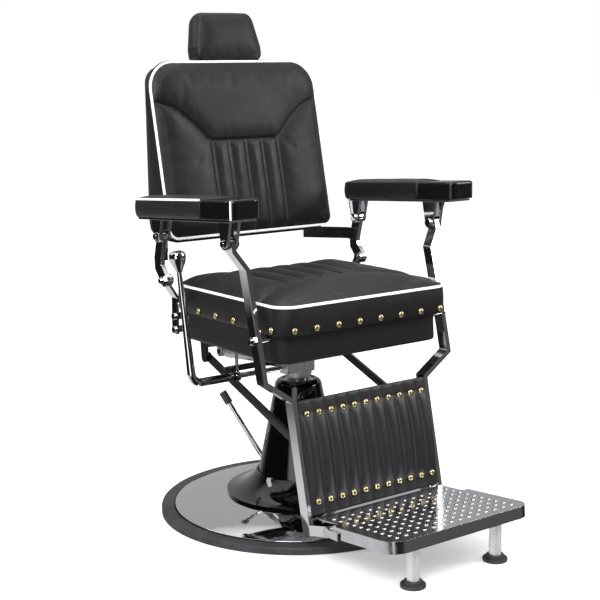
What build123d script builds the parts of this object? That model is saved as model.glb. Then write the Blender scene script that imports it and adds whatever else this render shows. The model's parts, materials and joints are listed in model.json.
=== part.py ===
"""Hydraulic barber chair, in millimetres.

+Z is up and the floor is Z = 0.
The origin is on the lift column's axis, at the centre of the base's underside.
The chair faces -Y, and "left" is the -X side, where the hand lever is.
"""

import os
from math import atan2, cos, degrees, hypot, radians, sin, sqrt

from build123d import *

os.makedirs("parts", exist_ok=True)

# ---------------------------------------------------------------- driving dimensions

FIT = 0.1                       # running clearance round pins and shafts
GAP = 0.3                       # clearance between pieces that lie on each other

# base
BASE_RADIUS = 350.0             # outside of the rubber rim
RIM_WIDTH = 33.0
RIM_HEIGHT = 18.0
PAN_THICKNESS = 3.0
PLATE_WALL = 5.0
DOME_EDGE_Z = 22.0              # top of the chrome plate at its outer edge
DOME_TOP_Z = 45.0               # flat top of the chrome plate
BELL_RADIUS = 184.0
BELL_WALL = 4.0
COLLAR_TOP_Z = 97.0
CONE_WALL = 4.0
CONE_FOOT_RADIUS = 111.5
CONE_TOP_RADIUS = 59.0
CONE_SHOULDER_Z = 316.0
CONE_TOP_Z = 332.0

# pump and lift column
PUMP_RADIUS = 36.0
PUMP_BORE = 30.0
PUMP_TOP_Z = 320.0
FLANGE_THICKNESS = 12.0
ROD_RADIUS = 25.0
ROD_TOP_Z = 336.0
SPIGOT_RADIUS = 19.0
SPIGOT_LENGTH = 42.0
LIFT_STROKE = 150.0
BEARING_THICKNESS = 6.0

# foot pedal, in the upright plane that holds the column's axis
PEDAL_BEARING = 127.0           # degrees round from +X
PEDAL_PIVOT = (66.0, 68.0)      # radius, height
PEDAL_TIP = (199.0, 276.0)
PEDAL_ROD_RADIUS = 6.0
PEDAL_STROKE = 12.0             # degrees

# seat
SEAT_HALF = 250.0               # half the width of the cushion
SEAT_FRONT = -284.0
SEAT_REAR = 170.0
SEAT_BOTTOM_Z = 443.0
SEAM_Z = 510.0                  # where the cushion's boxing meets the apron
CUSHION_TOP_Z = 598.0
APRON_INSET = 10.0
APRON_WALL = 15.0
APRON_TOP_Z = 521.7
BOARD_THICKNESS = 15.0

# linkage pivots: (y, z) in the side view
BACK_PIVOT = (121.5, 596.0)
FRONT_PIVOT = (-219.0, 498.5)
ARM_REAR_PIVOT = (132.5, 702.0)
ARM_FRONT_PIVOT = (-163.5, 713.0)
ROCKER_PIVOT = (83.0, 440.0)
LINK_REAR_PIVOT = (123.5, 390.0)
LINK_FRONT_PIVOT = (-253.0, 251.0)
LOCK_REAR_PIVOT = (102.0, 405.0)
LOCK_FRONT_PIVOT = (-160.0, 430.0)
PIN_RADIUS = 6.0
OPEN_PIN_RADIUS = 5.0           # pins at the two opened pivots
OPEN_HOLE_RADIUS = 9.5          # their clearance holes

# flat bars
BAR_WIDTH = 28.0
BAR_THICKNESS = 12.0
BAR_EDGE = 2.5
BRACKET_THICKNESS = 6.0
BRACKET_GAP = 7.5               # from the cushion's side to the rear bracket
BAR_GAP = 4.5                   # from the rear bracket to the bars
ARM_JOG = 28.0                  # how far the bars jog outward below the armrests
CALF_HALF = 190.0               # half the width of the calf panel

# armrests
ARM_WIDTH = 84.0
ARM_OFFSET = 15.0               # armrest's middle, outboard of the upper bars
ARM_FRONT = -256.0
ARM_REAR = 165.0
ARM_CAP_LENGTH = 122.0
ARM_BOTTOM_FRONT_Z = 776.0
ARM_DEPTH = 46.0
ARM_DROP = 27.0                 # how much lower the armrest is at its rear
ARM_PLATE = 5.0
EAR_THICKNESS = 8.0

# back
BACK_HALF = 250.0
BACK_BOTTOM_Z = 684.0
BACK_HEIGHT = 429.0
BACK_FOOT_Y = 181.0             # cushion's front face at its bottom
BACK_LEAN = 11.8                # degrees
BACK_BOARD_Y = 285.0
BACK_BOARD_THICKNESS = 14.0

# headrest
HEADREST_HALF = 96.0
HEADREST_TOP_HALF = 78.0
HEADREST_HEIGHT = 122.0
HEADREST_DEPTH = 52.0
POST_WIDTH = 36.0
POST_THICKNESS = 6.0

# leg frame and footrest
CALF_TOP = (-241.0, 352.0)
CALF_BOTTOM = (-302.0, 64.0)
FOOTREST_HINGE = (-384.0, 84.0)
FOOTREST_HALF = 205.0
FOOTREST_LENGTH = 286.0
FOOTREST_SLOPE = 5.5            # degrees
FOOTREST_RIM = 24.0
LEG_X = 122.0
LEG_Y = -574.0
LEG_RADIUS = 14.0
GLIDE_RADIUS = 28.0

# hand lever
LEVER_AXIS = (-35.0, 374.0)     # (y, z)
LEVER_GAP = 22.0                # from the upper bars to the lever's plane
LEVER_LENGTH = 285.0
LEVER_LEAN = 10.0               # degrees back from upright
SHAFT_RADIUS = 6.5
GRIP_RADIUS = 10.0

# ---------------------------------------------------------------- derived places

pan_radius = BASE_RADIUS - RIM_WIDTH - GAP
dome_radius = pan_radius - 1.0
flange_top_z = DOME_TOP_Z + GAP + FLANGE_THICKNESS
bracket_in = SEAT_HALF + BRACKET_GAP
bar_in = bracket_in + BRACKET_THICKNESS + BAR_GAP
bar_mid = bar_in + BAR_THICKNESS / 2
bar_out = bar_in + BAR_THICKNESS
arm_bar_mid = bar_mid + ARM_JOG
arm_bar_in = arm_bar_mid - BAR_THICKNESS / 2
arm_bar_out = arm_bar_mid + BAR_THICKNESS / 2
calf_bar_mid = CALF_HALF + 1.0 + BAR_THICKNESS / 2
calf_bar_in = calf_bar_mid - BAR_THICKNESS / 2
arm_mid = arm_bar_mid + ARM_OFFSET
lever_x = -(arm_bar_out + LEVER_GAP)
link_out = calf_bar_in - 1.5
link_in = link_out - 8.0
hook_in = link_out + 1.5
hook_out = hook_in + 8.0
apron_half = SEAT_HALF - APRON_INSET
board_bottom_z = APRON_TOP_Z + GAP
board_top_z = board_bottom_z + BOARD_THICKNESS
apron_front = SEAT_FRONT + 20.0
apron_rear = SEAT_REAR - APRON_INSET
SIDES = {"left": -1, "right": 1}


def save(part, name):
    """Label a finished piece and write its STEP file."""
    part.part.label = name
    export_step(part.part, f"parts/{name}.step")


def strip(points, width):
    """Closed outline of a flat strip of the given width that follows the points, with mitred corners."""
    left, right = [], []
    for i, point in enumerate(points):
        here = Vector(*point)
        before = Vector(*points[i - 1]) if i > 0 else None
        after = Vector(*points[i + 1]) if i < len(points) - 1 else None
        into = (here - before).normalized() if before is not None else (after - here).normalized()
        out = (after - here).normalized() if after is not None else into
        bisector = (into + out).normalized()
        normal = Vector(-bisector.Y, bisector.X)
        reach = width / 2 / bisector.dot(into)
        left.append(((here + normal * reach).X, (here + normal * reach).Y))
        right.append(((here - normal * reach).X, (here - normal * reach).Y))
    return left + right[::-1]


def side_plane(x):
    """Sketch plane parallel to the side view, where a sketch's x is Y and its y is Z."""
    return Plane.YZ.offset(x)


# ---------------------------------------------------------------- base


def make_base():
    with BuildPart() as base_pan:
        Cylinder(pan_radius, PAN_THICKNESS, align=(Align.CENTER, Align.CENTER, Align.MIN))
    save(base_pan, "base_pan")

    with BuildPart() as base_rim:
        with BuildSketch(Plane.XZ):
            with Locations((BASE_RADIUS - RIM_WIDTH / 2, RIM_HEIGHT / 2)):
                Rectangle(RIM_WIDTH, RIM_HEIGHT)
        revolve(axis=Axis.Z)
        fillet(base_rim.edges().group_by(Axis.Z)[-1], 5)
    save(base_rim, "base_rim")

    foot_z = PAN_THICKNESS + GAP
    mid = (dome_radius + BELL_RADIUS) / 2
    mid_z = (DOME_EDGE_Z + DOME_TOP_Z) / 2 + 5
    with BuildPart() as base_plate:
        with BuildSketch(Plane.XZ):
            with BuildLine():
                Polyline((dome_radius - PLATE_WALL, foot_z), (dome_radius, foot_z),
                         (dome_radius, DOME_EDGE_Z - 2))
                ThreePointArc((dome_radius, DOME_EDGE_Z - 2), (mid, mid_z), (BELL_RADIUS, DOME_TOP_Z))
                Polyline((BELL_RADIUS, DOME_TOP_Z), (PUMP_BORE, DOME_TOP_Z),
                         (PUMP_BORE, DOME_TOP_Z - PLATE_WALL),
                         (BELL_RADIUS, DOME_TOP_Z - PLATE_WALL))
                ThreePointArc((BELL_RADIUS, DOME_TOP_Z - PLATE_WALL), (mid - 1, mid_z - PLATE_WALL),
                              (dome_radius - PLATE_WALL, DOME_EDGE_Z - 2 - PLATE_WALL))
                Line((dome_radius - PLATE_WALL, DOME_EDGE_Z - 2 - PLATE_WALL),
                     (dome_radius - PLATE_WALL, foot_z))
            make_face()
        revolve(axis=Axis.Z)
        with BuildSketch(Plane.XY.offset(DOME_TOP_Z)):
            with PolarLocations(bolt_circle, 6, start_angle=bolt_start):
                Circle(BOLT_RADIUS + FIT)
        extrude(amount=-2 * PLATE_WALL, mode=Mode.SUBTRACT)
    save(base_plate, "base_plate")

    collar_in = cone_radius(COLLAR_TOP_Z) + 2.5
    lip_z = DOME_TOP_Z + GAP
    with BuildPart() as bell_cover:
        with BuildSketch(Plane.XZ):
            with BuildLine():
                Line((BELL_RADIUS - 6, lip_z), (BELL_RADIUS, lip_z))
                Line((BELL_RADIUS, lip_z), (BELL_RADIUS, lip_z + 6))
                ThreePointArc((BELL_RADIUS, lip_z + 6), (BELL_RADIUS - 38, lip_z + 18),
                              (collar_in + BELL_WALL, COLLAR_TOP_Z))
                Line((collar_in + BELL_WALL, COLLAR_TOP_Z), (collar_in, COLLAR_TOP_Z))
                ThreePointArc((collar_in, COLLAR_TOP_Z), (BELL_RADIUS - 42, lip_z + 14),
                              (BELL_RADIUS - 6, lip_z + 3))
                Line((BELL_RADIUS - 6, lip_z + 3), (BELL_RADIUS - 6, lip_z))
            make_face()
        revolve(axis=Axis.Z)
    save(bell_cover, "bell_cover")

    cone_foot_z = flange_top_z + GAP
    foot_radius = cone_radius(cone_foot_z)
    with BuildPart() as cone_cover:
        with BuildSketch(Plane.XZ):
            with BuildLine():
                Line((foot_radius - CONE_WALL, cone_foot_z), (foot_radius, cone_foot_z))
                Line((foot_radius, cone_foot_z), (CONE_TOP_RADIUS, CONE_SHOULDER_Z))
                RadiusArc((CONE_TOP_RADIUS, CONE_SHOULDER_Z), (CONE_TOP_RADIUS - 15, CONE_TOP_Z), -17)
                Polyline((CONE_TOP_RADIUS - 15, CONE_TOP_Z), (gland_radius + 2, CONE_TOP_Z),
                         (gland_radius + 2, CONE_TOP_Z - CONE_WALL),
                         (CONE_TOP_RADIUS - 16, CONE_TOP_Z - CONE_WALL),
                         (CONE_TOP_RADIUS - CONE_WALL, CONE_SHOULDER_Z),
                         (foot_radius - CONE_WALL, cone_foot_z))
            make_face()
        revolve(axis=Axis.Z)
        with BuildSketch(pedal_plane()):
            slot_mid = (cone_radius(112.5) - CONE_WALL / 2, 112.5)
            with Locations(slot_mid):
                Rectangle(24, 44)
        extrude(amount=PEDAL_ROD_RADIUS + 2.5, both=True, mode=Mode.SUBTRACT)
    save(cone_cover, "cone_cover")


def cone_radius(z):
    """Outside radius of the cone cover at a height."""
    drop = (CONE_FOOT_RADIUS - CONE_TOP_RADIUS) / (CONE_SHOULDER_Z - DOME_TOP_Z - FLANGE_THICKNESS)
    return CONE_TOP_RADIUS + (CONE_SHOULDER_Z - z) * drop


def pedal_plane():
    """Upright plane through the column's axis that the foot pedal swings in."""
    turn = radians(PEDAL_BEARING)
    return Plane(origin=(0, 0, 0), x_dir=(cos(turn), sin(turn), 0), z_dir=(sin(turn), -cos(turn), 0))


# ---------------------------------------------------------------- pump, column and pedal

BOLT_RADIUS = 6.0
bolt_circle = PUMP_RADIUS + 38.0
bolt_start = PEDAL_BEARING + 30.0
flange_radius = CONE_FOOT_RADIUS
gland_radius = PUMP_RADIUS + 2.0


def make_pump():
    flange_z = DOME_TOP_Z + GAP
    with BuildPart() as pump_cylinder:
        with BuildSketch(Plane.XY.offset(flange_z)):
            Circle(flange_radius)
        extrude(amount=FLANGE_THICKNESS)
        with BuildSketch(Plane.XY.offset(flange_top_z)):
            Circle(PUMP_RADIUS)
        extrude(amount=PUMP_TOP_Z - flange_top_z)
        with BuildSketch(Plane.XY.offset(flange_top_z + 8)):
            Circle(PUMP_BORE)
        extrude(amount=PUMP_TOP_Z, mode=Mode.SUBTRACT)
        with BuildSketch(Plane.XY.offset(flange_top_z)):
            with PolarLocations(bolt_circle, 6, start_angle=bolt_start):
                Circle(BOLT_RADIUS + FIT)
        extrude(amount=-FLANGE_THICKNESS, mode=Mode.SUBTRACT)
    save(pump_cylinder, "pump_cylinder")

    shank = FLANGE_THICKNESS + PLATE_WALL + 2 * GAP
    with BuildPart() as pump_bolts:
        with PolarLocations(bolt_circle, 6, start_angle=bolt_start):
            with Locations((0, 0, flange_top_z - shank - 9)):
                Cylinder(BOLT_RADIUS, shank + 12, align=(Align.CENTER, Align.CENTER, Align.MIN))
        with BuildSketch(Plane.XY.offset(flange_top_z + GAP)):
            with PolarLocations(bolt_circle, 6, start_angle=bolt_start):
                RegularPolygon(10, 6)
        extrude(amount=7)
        with BuildSketch(Plane.XY.offset(flange_top_z - shank)):
            with PolarLocations(bolt_circle, 6, start_angle=bolt_start):
                RegularPolygon(10, 6)
        extrude(amount=-9)
    save(pump_bolts, "pump_bolts")

    with BuildPart() as gland_nut:
        with BuildSketch(Plane.XY.offset(PUMP_TOP_Z + GAP)):
            Circle(gland_radius)
            Circle(ROD_RADIUS + FIT, mode=Mode.SUBTRACT)
        extrude(amount=CONE_TOP_Z - PUMP_TOP_Z - 2)
    save(gland_nut, "gland_nut")

    head_z = flange_top_z + 14
    with BuildPart() as piston_rod:
        with BuildSketch(Plane.XY.offset(head_z)):
            Circle(PUMP_BORE - FIT)
        extrude(amount=20)
        with BuildSketch(Plane.XY.offset(head_z + 20)):
            Circle(ROD_RADIUS)
        extrude(amount=ROD_TOP_Z - head_z - 20)
        with BuildSketch(Plane.XY.offset(ROD_TOP_Z)):
            Circle(SPIGOT_RADIUS)
        extrude(amount=SPIGOT_LENGTH)
        chamfer(piston_rod.edges().sort_by(Axis.Z)[-1], 2)
    save(piston_rod, "piston_rod")

    with BuildPart() as thrust_bearing:
        with BuildSketch(Plane.XY.offset(ROD_TOP_Z + 0.05)):
            Circle(ROD_RADIUS + 5)
            Circle(SPIGOT_RADIUS + 0.2, mode=Mode.SUBTRACT)
        extrude(amount=BEARING_THICKNESS)
    save(thrust_bearing, "thrust_bearing")


def make_pedal():
    plane = pedal_plane()
    pivot_r, pivot_z = PEDAL_PIVOT
    rise = atan2(PEDAL_TIP[1] - pivot_z, PEDAL_TIP[0] - pivot_r)
    reach = hypot(PEDAL_TIP[1] - pivot_z, PEDAL_TIP[0] - pivot_r)
    start = plane.from_local_coords(Vector(pivot_r, pivot_z, 0))
    along = plane.from_local_coords(Vector(pivot_r + cos(rise), pivot_z + sin(rise), 0)) - start

    with BuildPart() as pedal_yoke:
        with BuildSketch(Plane.XY.offset(flange_top_z + 3)):
            Circle(PUMP_RADIUS + 7)
            Circle(PUMP_RADIUS + 0.2, mode=Mode.SUBTRACT)
        extrude(amount=22)
        for x in (-14, 8):
            with BuildSketch(plane.offset(x)):
                with Locations(((PUMP_RADIUS + 4 + pivot_r) / 2, pivot_z)):
                    Rectangle(pivot_r - PUMP_RADIUS - 4, 16)
                with Locations(PEDAL_PIVOT):
                    Circle(8)
            extrude(amount=6)
        with BuildSketch(plane.offset(-14)):
            with Locations(PEDAL_PIVOT):
                Circle(4)
        extrude(amount=28)
    save(pedal_yoke, "pedal_yoke")

    with BuildPart() as pedal_arm:
        with BuildSketch(plane):
            with Locations(PEDAL_PIVOT):
                Circle(9)
        extrude(amount=7, both=True)
        with BuildSketch(Plane(origin=start, z_dir=along)):
            Circle(PEDAL_ROD_RADIUS)
        extrude(amount=reach)
        with BuildSketch(plane):
            with Locations(PEDAL_PIVOT):
                Circle(4 + FIT)
        extrude(amount=20, both=True, mode=Mode.SUBTRACT)
    save(pedal_arm, "pedal_arm")

    with BuildPart() as pedal_pad:
        with BuildSketch(Plane(origin=start + along * (reach - 26), z_dir=along)):
            Circle(PEDAL_ROD_RADIUS + 4)
        extrude(amount=34)
        fillet(pedal_pad.edges(), 2.5)
        with BuildSketch(Plane(origin=start + along * (reach - 30), z_dir=along)):
            Circle(PEDAL_ROD_RADIUS + 0.1)
        extrude(amount=30.1, mode=Mode.SUBTRACT)
    save(pedal_pad, "pedal_pad")


# ---------------------------------------------------------------- seat


def make_head():
    """Casting that turns on the column and carries the seat board and the hand lever's inner bearing."""
    hub_z = ROD_TOP_Z + BEARING_THICKNESS + 2 * GAP
    shaft_y, shaft_z = LEVER_AXIS
    with BuildPart() as head_casting:
        with BuildSketch(Plane.XY.offset(hub_z)):
            Circle(SPIGOT_RADIUS + 15)
        extrude(amount=58)
        with BuildSketch(Plane.XY.offset(shaft_z - 16)):
            with Locations((-28, shaft_y)):
                Rectangle(84, 32)
        extrude(amount=30)
        with BuildSketch(Plane.XY.offset(hub_z + 54)):
            RectangleRounded(96, 80, 10)
        with BuildSketch(Plane.XY.offset(board_bottom_z - 12 - GAP)):
            RectangleRounded(130, 90, 10)
        loft()
        with BuildSketch(Plane.XY.offset(board_bottom_z - 12 - GAP)):
            RectangleRounded(260, 150, 16)
        extrude(amount=12)
        with BuildSketch(Plane.XY.offset(hub_z)):
            Circle(SPIGOT_RADIUS + FIT)
        extrude(amount=SPIGOT_LENGTH, mode=Mode.SUBTRACT)
        with BuildSketch(side_plane(-72)):
            with Locations(LEVER_AXIS):
                Circle(SHAFT_RADIUS + FIT)
        extrude(amount=72, mode=Mode.SUBTRACT)
    save(head_casting, "head_casting")


def make_seat():
    length = apron_rear - apron_front
    mid_y = (apron_rear + apron_front) / 2
    with BuildPart() as seat_apron:
        with BuildSketch(Plane.XY.offset(SEAT_BOTTOM_Z)):
            with Locations((0, mid_y)):
                RectangleRounded(2 * apron_half, length, 16)
        extrude(amount=APRON_TOP_Z - SEAT_BOTTOM_Z)
        with BuildSketch(Plane.XY.offset(SEAT_BOTTOM_Z)):
            with Locations((0, mid_y)):
                RectangleRounded(2 * (apron_half - APRON_WALL), length - 2 * APRON_WALL, 6)
        extrude(amount=APRON_TOP_Z - SEAT_BOTTOM_Z, mode=Mode.SUBTRACT)
        with BuildSketch(side_plane(-apron_half - 10)):
            with Locations(FRONT_PIVOT):
                Circle(PIN_RADIUS + FIT)
        extrude(amount=2 * apron_half + 20, mode=Mode.SUBTRACT)
        for side in SIDES.values():
            with BuildSketch(side_plane(side * (apron_half - LAG_DEPTH - 1))):
                with Locations(*bracket_bolts_at):
                    Circle(BRACKET_BOLT_RADIUS + FIT)
            extrude(amount=side * (LAG_DEPTH + 2), mode=Mode.SUBTRACT)
    save(seat_apron, "seat_apron")

    with BuildPart() as seat_board:
        with BuildSketch(Plane.XY.offset(board_bottom_z)):
            with Locations((0, mid_y)):
                RectangleRounded(2 * (apron_half - 4), length - 8, 14)
        extrude(amount=BOARD_THICKNESS)
    save(seat_board, "seat_board")

    cushion_length = SEAT_REAR - SEAT_FRONT
    cushion_mid = (SEAT_REAR + SEAT_FRONT) / 2
    with BuildPart() as seat_cushion:
        with BuildSketch(Plane.XY.offset(SEAM_Z)):
            with Locations((0, cushion_mid)):
                RectangleRounded(2 * SEAT_HALF, cushion_length, 26)
        extrude(amount=CUSHION_TOP_Z - SEAM_Z)
        fillet(seat_cushion.edges().group_by(Axis.Z)[-1], 16)
        with BuildSketch(Plane.XY.offset(SEAM_Z)):
            with Locations((0, mid_y)):
                RectangleRounded(2 * (apron_half + GAP), length + 2 * GAP, 16)
        extrude(amount=board_top_z + GAP - SEAM_Z, mode=Mode.SUBTRACT)
    save(seat_cushion, "seat_cushion")

    front_count = 8
    side_count = 6
    with BuildPart() as seat_nails:
        with BuildSketch(Plane.XZ.offset(-SEAT_FRONT + NAIL_GAP)):
            with Locations((0, SEAM_Z + 13)):
                with GridLocations(2 * (SEAT_HALF - 34) / (front_count - 1), 10, front_count, 1):
                    Circle(NAIL_RADIUS)
        extrude(amount=NAIL_HEIGHT, taper=38)
        for side in SIDES.values():
            with BuildSketch(side_plane(side * (SEAT_HALF + NAIL_GAP))):
                with Locations((cushion_mid, SEAM_Z + 13)):
                    with GridLocations((cushion_length - 74) / (side_count - 1), 10, side_count, 1):
                        Circle(NAIL_RADIUS)
            extrude(amount=side * NAIL_HEIGHT, taper=38)
    save(seat_nails, "seat_nails")


NAIL_RADIUS = 6.5
NAIL_HEIGHT = 4.0
NAIL_GAP = 0.1
BRACKET_BOLT_RADIUS = 5.0
bracket_foot = (SEAT_REAR - APRON_INSET - 8, SEAT_BOTTOM_Z + 18)
bracket_bolts_at = [(bracket_foot[0], bracket_foot[1] + 4), (bracket_foot[0], SEAM_Z - 12)]
LAG_DEPTH = 34.0


def make_seat_sides():
    """Rear brackets and the bolts, spacers and nuts of the seat's fixed pivots."""
    elbow = (bracket_foot[0] - 2, BACK_PIVOT[1] - 50)
    rear_arm = [BACK_PIVOT, elbow, (bracket_foot[0], bracket_foot[1] - 6)]
    head_mid = arm_bar_in - 1 - BRACKET_THICKNESS / 2
    foot_mid = bracket_in + BRACKET_THICKNESS / 2
    with BuildPart() as rear_brackets:
        for side in SIDES.values():
            profile = [(side * head_mid, BACK_PIVOT[1] + 24), (side * head_mid, BACK_PIVOT[1] - 15),
                       (side * foot_mid, BACK_PIVOT[1] - 50), (side * foot_mid, SEAT_BOTTOM_Z - 20)]
            with BuildPart(mode=Mode.PRIVATE) as bracket:
                with BuildSketch(side_plane(side * 200)):
                    with BuildLine():
                        Polyline(*strip(rear_arm, 24), close=True)
                    make_face()
                    with Locations(BACK_PIVOT):
                        Circle(14)
                        Circle(PIN_RADIUS + FIT, mode=Mode.SUBTRACT)
                    with Locations(*bracket_bolts_at):
                        Circle(BRACKET_BOLT_RADIUS + FIT, mode=Mode.SUBTRACT)
                extrude(amount=side * 120)
                with BuildSketch(Plane.XZ.offset(-300)):
                    with BuildLine():
                        Polyline(*strip(profile, BRACKET_THICKNESS), close=True)
                    make_face()
                extrude(amount=400, mode=Mode.INTERSECT)
            add(bracket.part)
    save(rear_brackets, "rear_brackets")

    with BuildPart() as bracket_bolts:
        for side in SIDES.values():
            lag_end = apron_half - LAG_DEPTH
            with BuildSketch(side_plane(side * lag_end)):
                with Locations(*bracket_bolts_at):
                    Circle(BRACKET_BOLT_RADIUS)
            extrude(amount=side * (bracket_in + BRACKET_THICKNESS + 1 - lag_end))
            with BuildSketch(side_plane(side * (bracket_in + BRACKET_THICKNESS + GAP))):
                with Locations(*bracket_bolts_at):
                    Circle(8.5)
            extrude(amount=side * 3.6)
    save(bracket_bolts, "bracket_bolts")

    with BuildPart() as pivot_spacers:
        for side in SIDES.values():
            spacers = [(FRONT_PIVOT, PIN_RADIUS, bar_in)]
            spacers += [(at, BRACKET_BOLT_RADIUS, bracket_in) for at in bracket_bolts_at]
            for centre, hole, reach in spacers:
                with BuildSketch(side_plane(side * (apron_half + GAP))):
                    with Locations(centre):
                        Circle(hole + 4)
                        Circle(hole + FIT, mode=Mode.SUBTRACT)
                extrude(amount=side * (reach - apron_half - 2 * GAP))
    save(pivot_spacers, "pivot_spacers")

    with BuildPart() as pivot_bolts:
        for side in SIDES.values():
            for centre, inner, outer in ((FRONT_PIVOT, apron_half - APRON_WALL - 6, bar_out),
                                         (BACK_PIVOT, head_mid - BRACKET_THICKNESS / 2 - 2.6, arm_bar_out)):
                with BuildSketch(side_plane(side * inner)):
                    with Locations(centre):
                        Circle(PIN_RADIUS)
                extrude(amount=side * (outer + 9 - inner))
            with BuildSketch(side_plane(side * (apron_half - APRON_WALL - GAP))):
                with Locations(FRONT_PIVOT):
                    RegularPolygon(11, 6)
            extrude(amount=side * -6)
            with BuildSketch(side_plane(side * (head_mid - BRACKET_THICKNESS / 2 - GAP))):
                with Locations(BACK_PIVOT):
                    Circle(10)
            extrude(amount=side * -5, taper=15)
    save(pivot_bolts, "pivot_bolts")

    with BuildPart() as dome_nuts:
        for side in SIDES.values():
            for centre, outer in ((FRONT_PIVOT, bar_out), (BACK_PIVOT, arm_bar_out)):
                with BuildSketch(side_plane(side * (outer + GAP))):
                    with Locations(centre):
                        RegularPolygon(11, 6)
                extrude(amount=side * 6)
                with BuildSketch(side_plane(side * (outer + GAP + 6))):
                    with Locations(centre):
                        Circle(9)
                extrude(amount=side * 6, taper=28)
                with BuildSketch(side_plane(side * outer)):
                    with Locations(centre):
                        Circle(PIN_RADIUS + 0.1)
                extrude(amount=side * 9.1, mode=Mode.SUBTRACT)
    save(dome_nuts, "dome_nuts")


def make_seat_underside():
    """Bearings for the rocker shaft, the lock's front bracket and the hand lever's supports."""
    bearing_in = hook_out + 3
    with BuildPart() as rocker_bearings:
        for side in SIDES.values():
            with BuildSketch(side_plane(side * bearing_in)):
                with Locations((ROCKER_PIVOT[0], (ROCKER_PIVOT[1] + board_bottom_z - GAP) / 2)):
                    Rectangle(30, board_bottom_z - GAP - ROCKER_PIVOT[1])
                with Locations(ROCKER_PIVOT):
                    Circle(15)
                    Circle(ROCKER_SHAFT_RADIUS + FIT, mode=Mode.SUBTRACT)
            extrude(amount=side * 9)
    save(rocker_bearings, "rocker_bearings")

    with BuildPart() as lock_bracket:
        with BuildSketch(side_plane(LOCK_X - 16)):
            with Locations((LOCK_FRONT_PIVOT[0], (LOCK_FRONT_PIVOT[1] + board_bottom_z - GAP) / 2)):
                Rectangle(26, board_bottom_z - GAP - LOCK_FRONT_PIVOT[1])
            with Locations(LOCK_FRONT_PIVOT):
                Circle(13)
        extrude(amount=6)
        with BuildSketch(side_plane(LOCK_X - 12)):
            with Locations(LOCK_FRONT_PIVOT):
                Circle(OPEN_PIN_RADIUS)
        extrude(amount=22)
    save(lock_bracket, "lock_bracket")

    shaft_y, shaft_z = LEVER_AXIS
    route = [(-56, shaft_z + 4), (-104, shaft_z + 14), (SUPPORT_X, shaft_z + 14)]
    with BuildPart() as lever_support:
        with BuildSketch(Plane.XZ.offset(-(shaft_y + 16 + GAP))):
            with BuildLine():
                Polyline(*strip(route, 14), close=True)
            make_face()
        extrude(amount=-8)
        with BuildSketch(side_plane(SUPPORT_X)):
            with Locations((shaft_y, shaft_z)):
                Circle(14)
            with Locations((shaft_y + 12, shaft_z + 12)):
                Rectangle(24.6, 18)
            with Locations((shaft_y, shaft_z)):
                Circle(SHAFT_RADIUS + FIT, mode=Mode.SUBTRACT)
        extrude(amount=-8)
    save(lever_support, "lever_support")

    with BuildPart() as lever_hanger:
        with BuildSketch(side_plane(HANGER_X - 5)):
            with Locations((shaft_y, shaft_z)):
                Circle(12)
                Circle(SHAFT_RADIUS + FIT, mode=Mode.SUBTRACT)
        extrude(amount=10)
        with BuildSketch(Plane.XY.offset(shaft_z + 9)):
            with Locations((HANGER_X, shaft_y)):
                Circle(4)
        extrude(amount=board_bottom_z - GAP - shaft_z - 9)
    save(lever_hanger, "lever_hanger")


ROCKER_SHAFT_RADIUS = 8.0
LOCK_X = -160.0
SUPPORT_X = -216.0
HANGER_X = -206.0

# ---------------------------------------------------------------- hand lever


def make_lever():
    shaft_y, shaft_z = LEVER_AXIS
    lean = radians(LEVER_LEAN)
    up = Vector(0, sin(lean), cos(lean))
    inward = Vector(1, 0, 0)
    corner = Vector(lever_x, shaft_y, shaft_z)
    bend = 24.0
    with BuildPart() as hand_lever:
        with BuildLine():
            ThreePointArc(corner + up * bend, corner + (up + inward) * (bend * (1 - 1 / sqrt(2))),
                          corner + inward * bend)
        with BuildSketch(Plane(origin=corner + up * bend, z_dir=-up)):
            Circle(GRIP_RADIUS)
        sweep()
        with BuildSketch(Plane(origin=corner + inward * bend, z_dir=inward)):
            Circle(GRIP_RADIUS)
        extrude(amount=SUPPORT_X - 9 - lever_x - bend)
        with BuildSketch(Plane(origin=corner + inward * bend, z_dir=inward)):
            Circle(SHAFT_RADIUS)
        extrude(amount=-lever_x - bend - 2)
        with BuildSketch(Plane(origin=corner + up * bend, z_dir=up)):
            Circle(GRIP_RADIUS)
        with BuildSketch(Plane(origin=corner + up * LEVER_LENGTH, z_dir=up)):
            Circle(5.5)
        loft()
    save(hand_lever, "hand_lever")

    neck = corner + up * (LEVER_LENGTH - 24)
    with BuildPart() as lever_knob:
        with BuildSketch(Plane(origin=neck, x_dir=(1, 0, 0), z_dir=up.cross(inward) * -1)):
            with BuildLine():
                Line((0, 0), (7.5, 0))
                Spline((7.5, 0), (13, 14), (20, 34), (17, 46), tangents=[(0.2, 1), (-0.7, 0.5)])
                Spline((17, 46), (10, 50), (0, 51), tangents=[(-0.7, 0.5), (-1, 0)])
                Line((0, 51), (0, 0))
            make_face()
        revolve(axis=Axis(neck, up))
        with BuildSketch(Plane(origin=neck - up, z_dir=up)):
            Circle(7.2)
        extrude(amount=25.2, mode=Mode.SUBTRACT)
    save(lever_knob, "lever_knob")


# ---------------------------------------------------------------- leg frame


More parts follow.
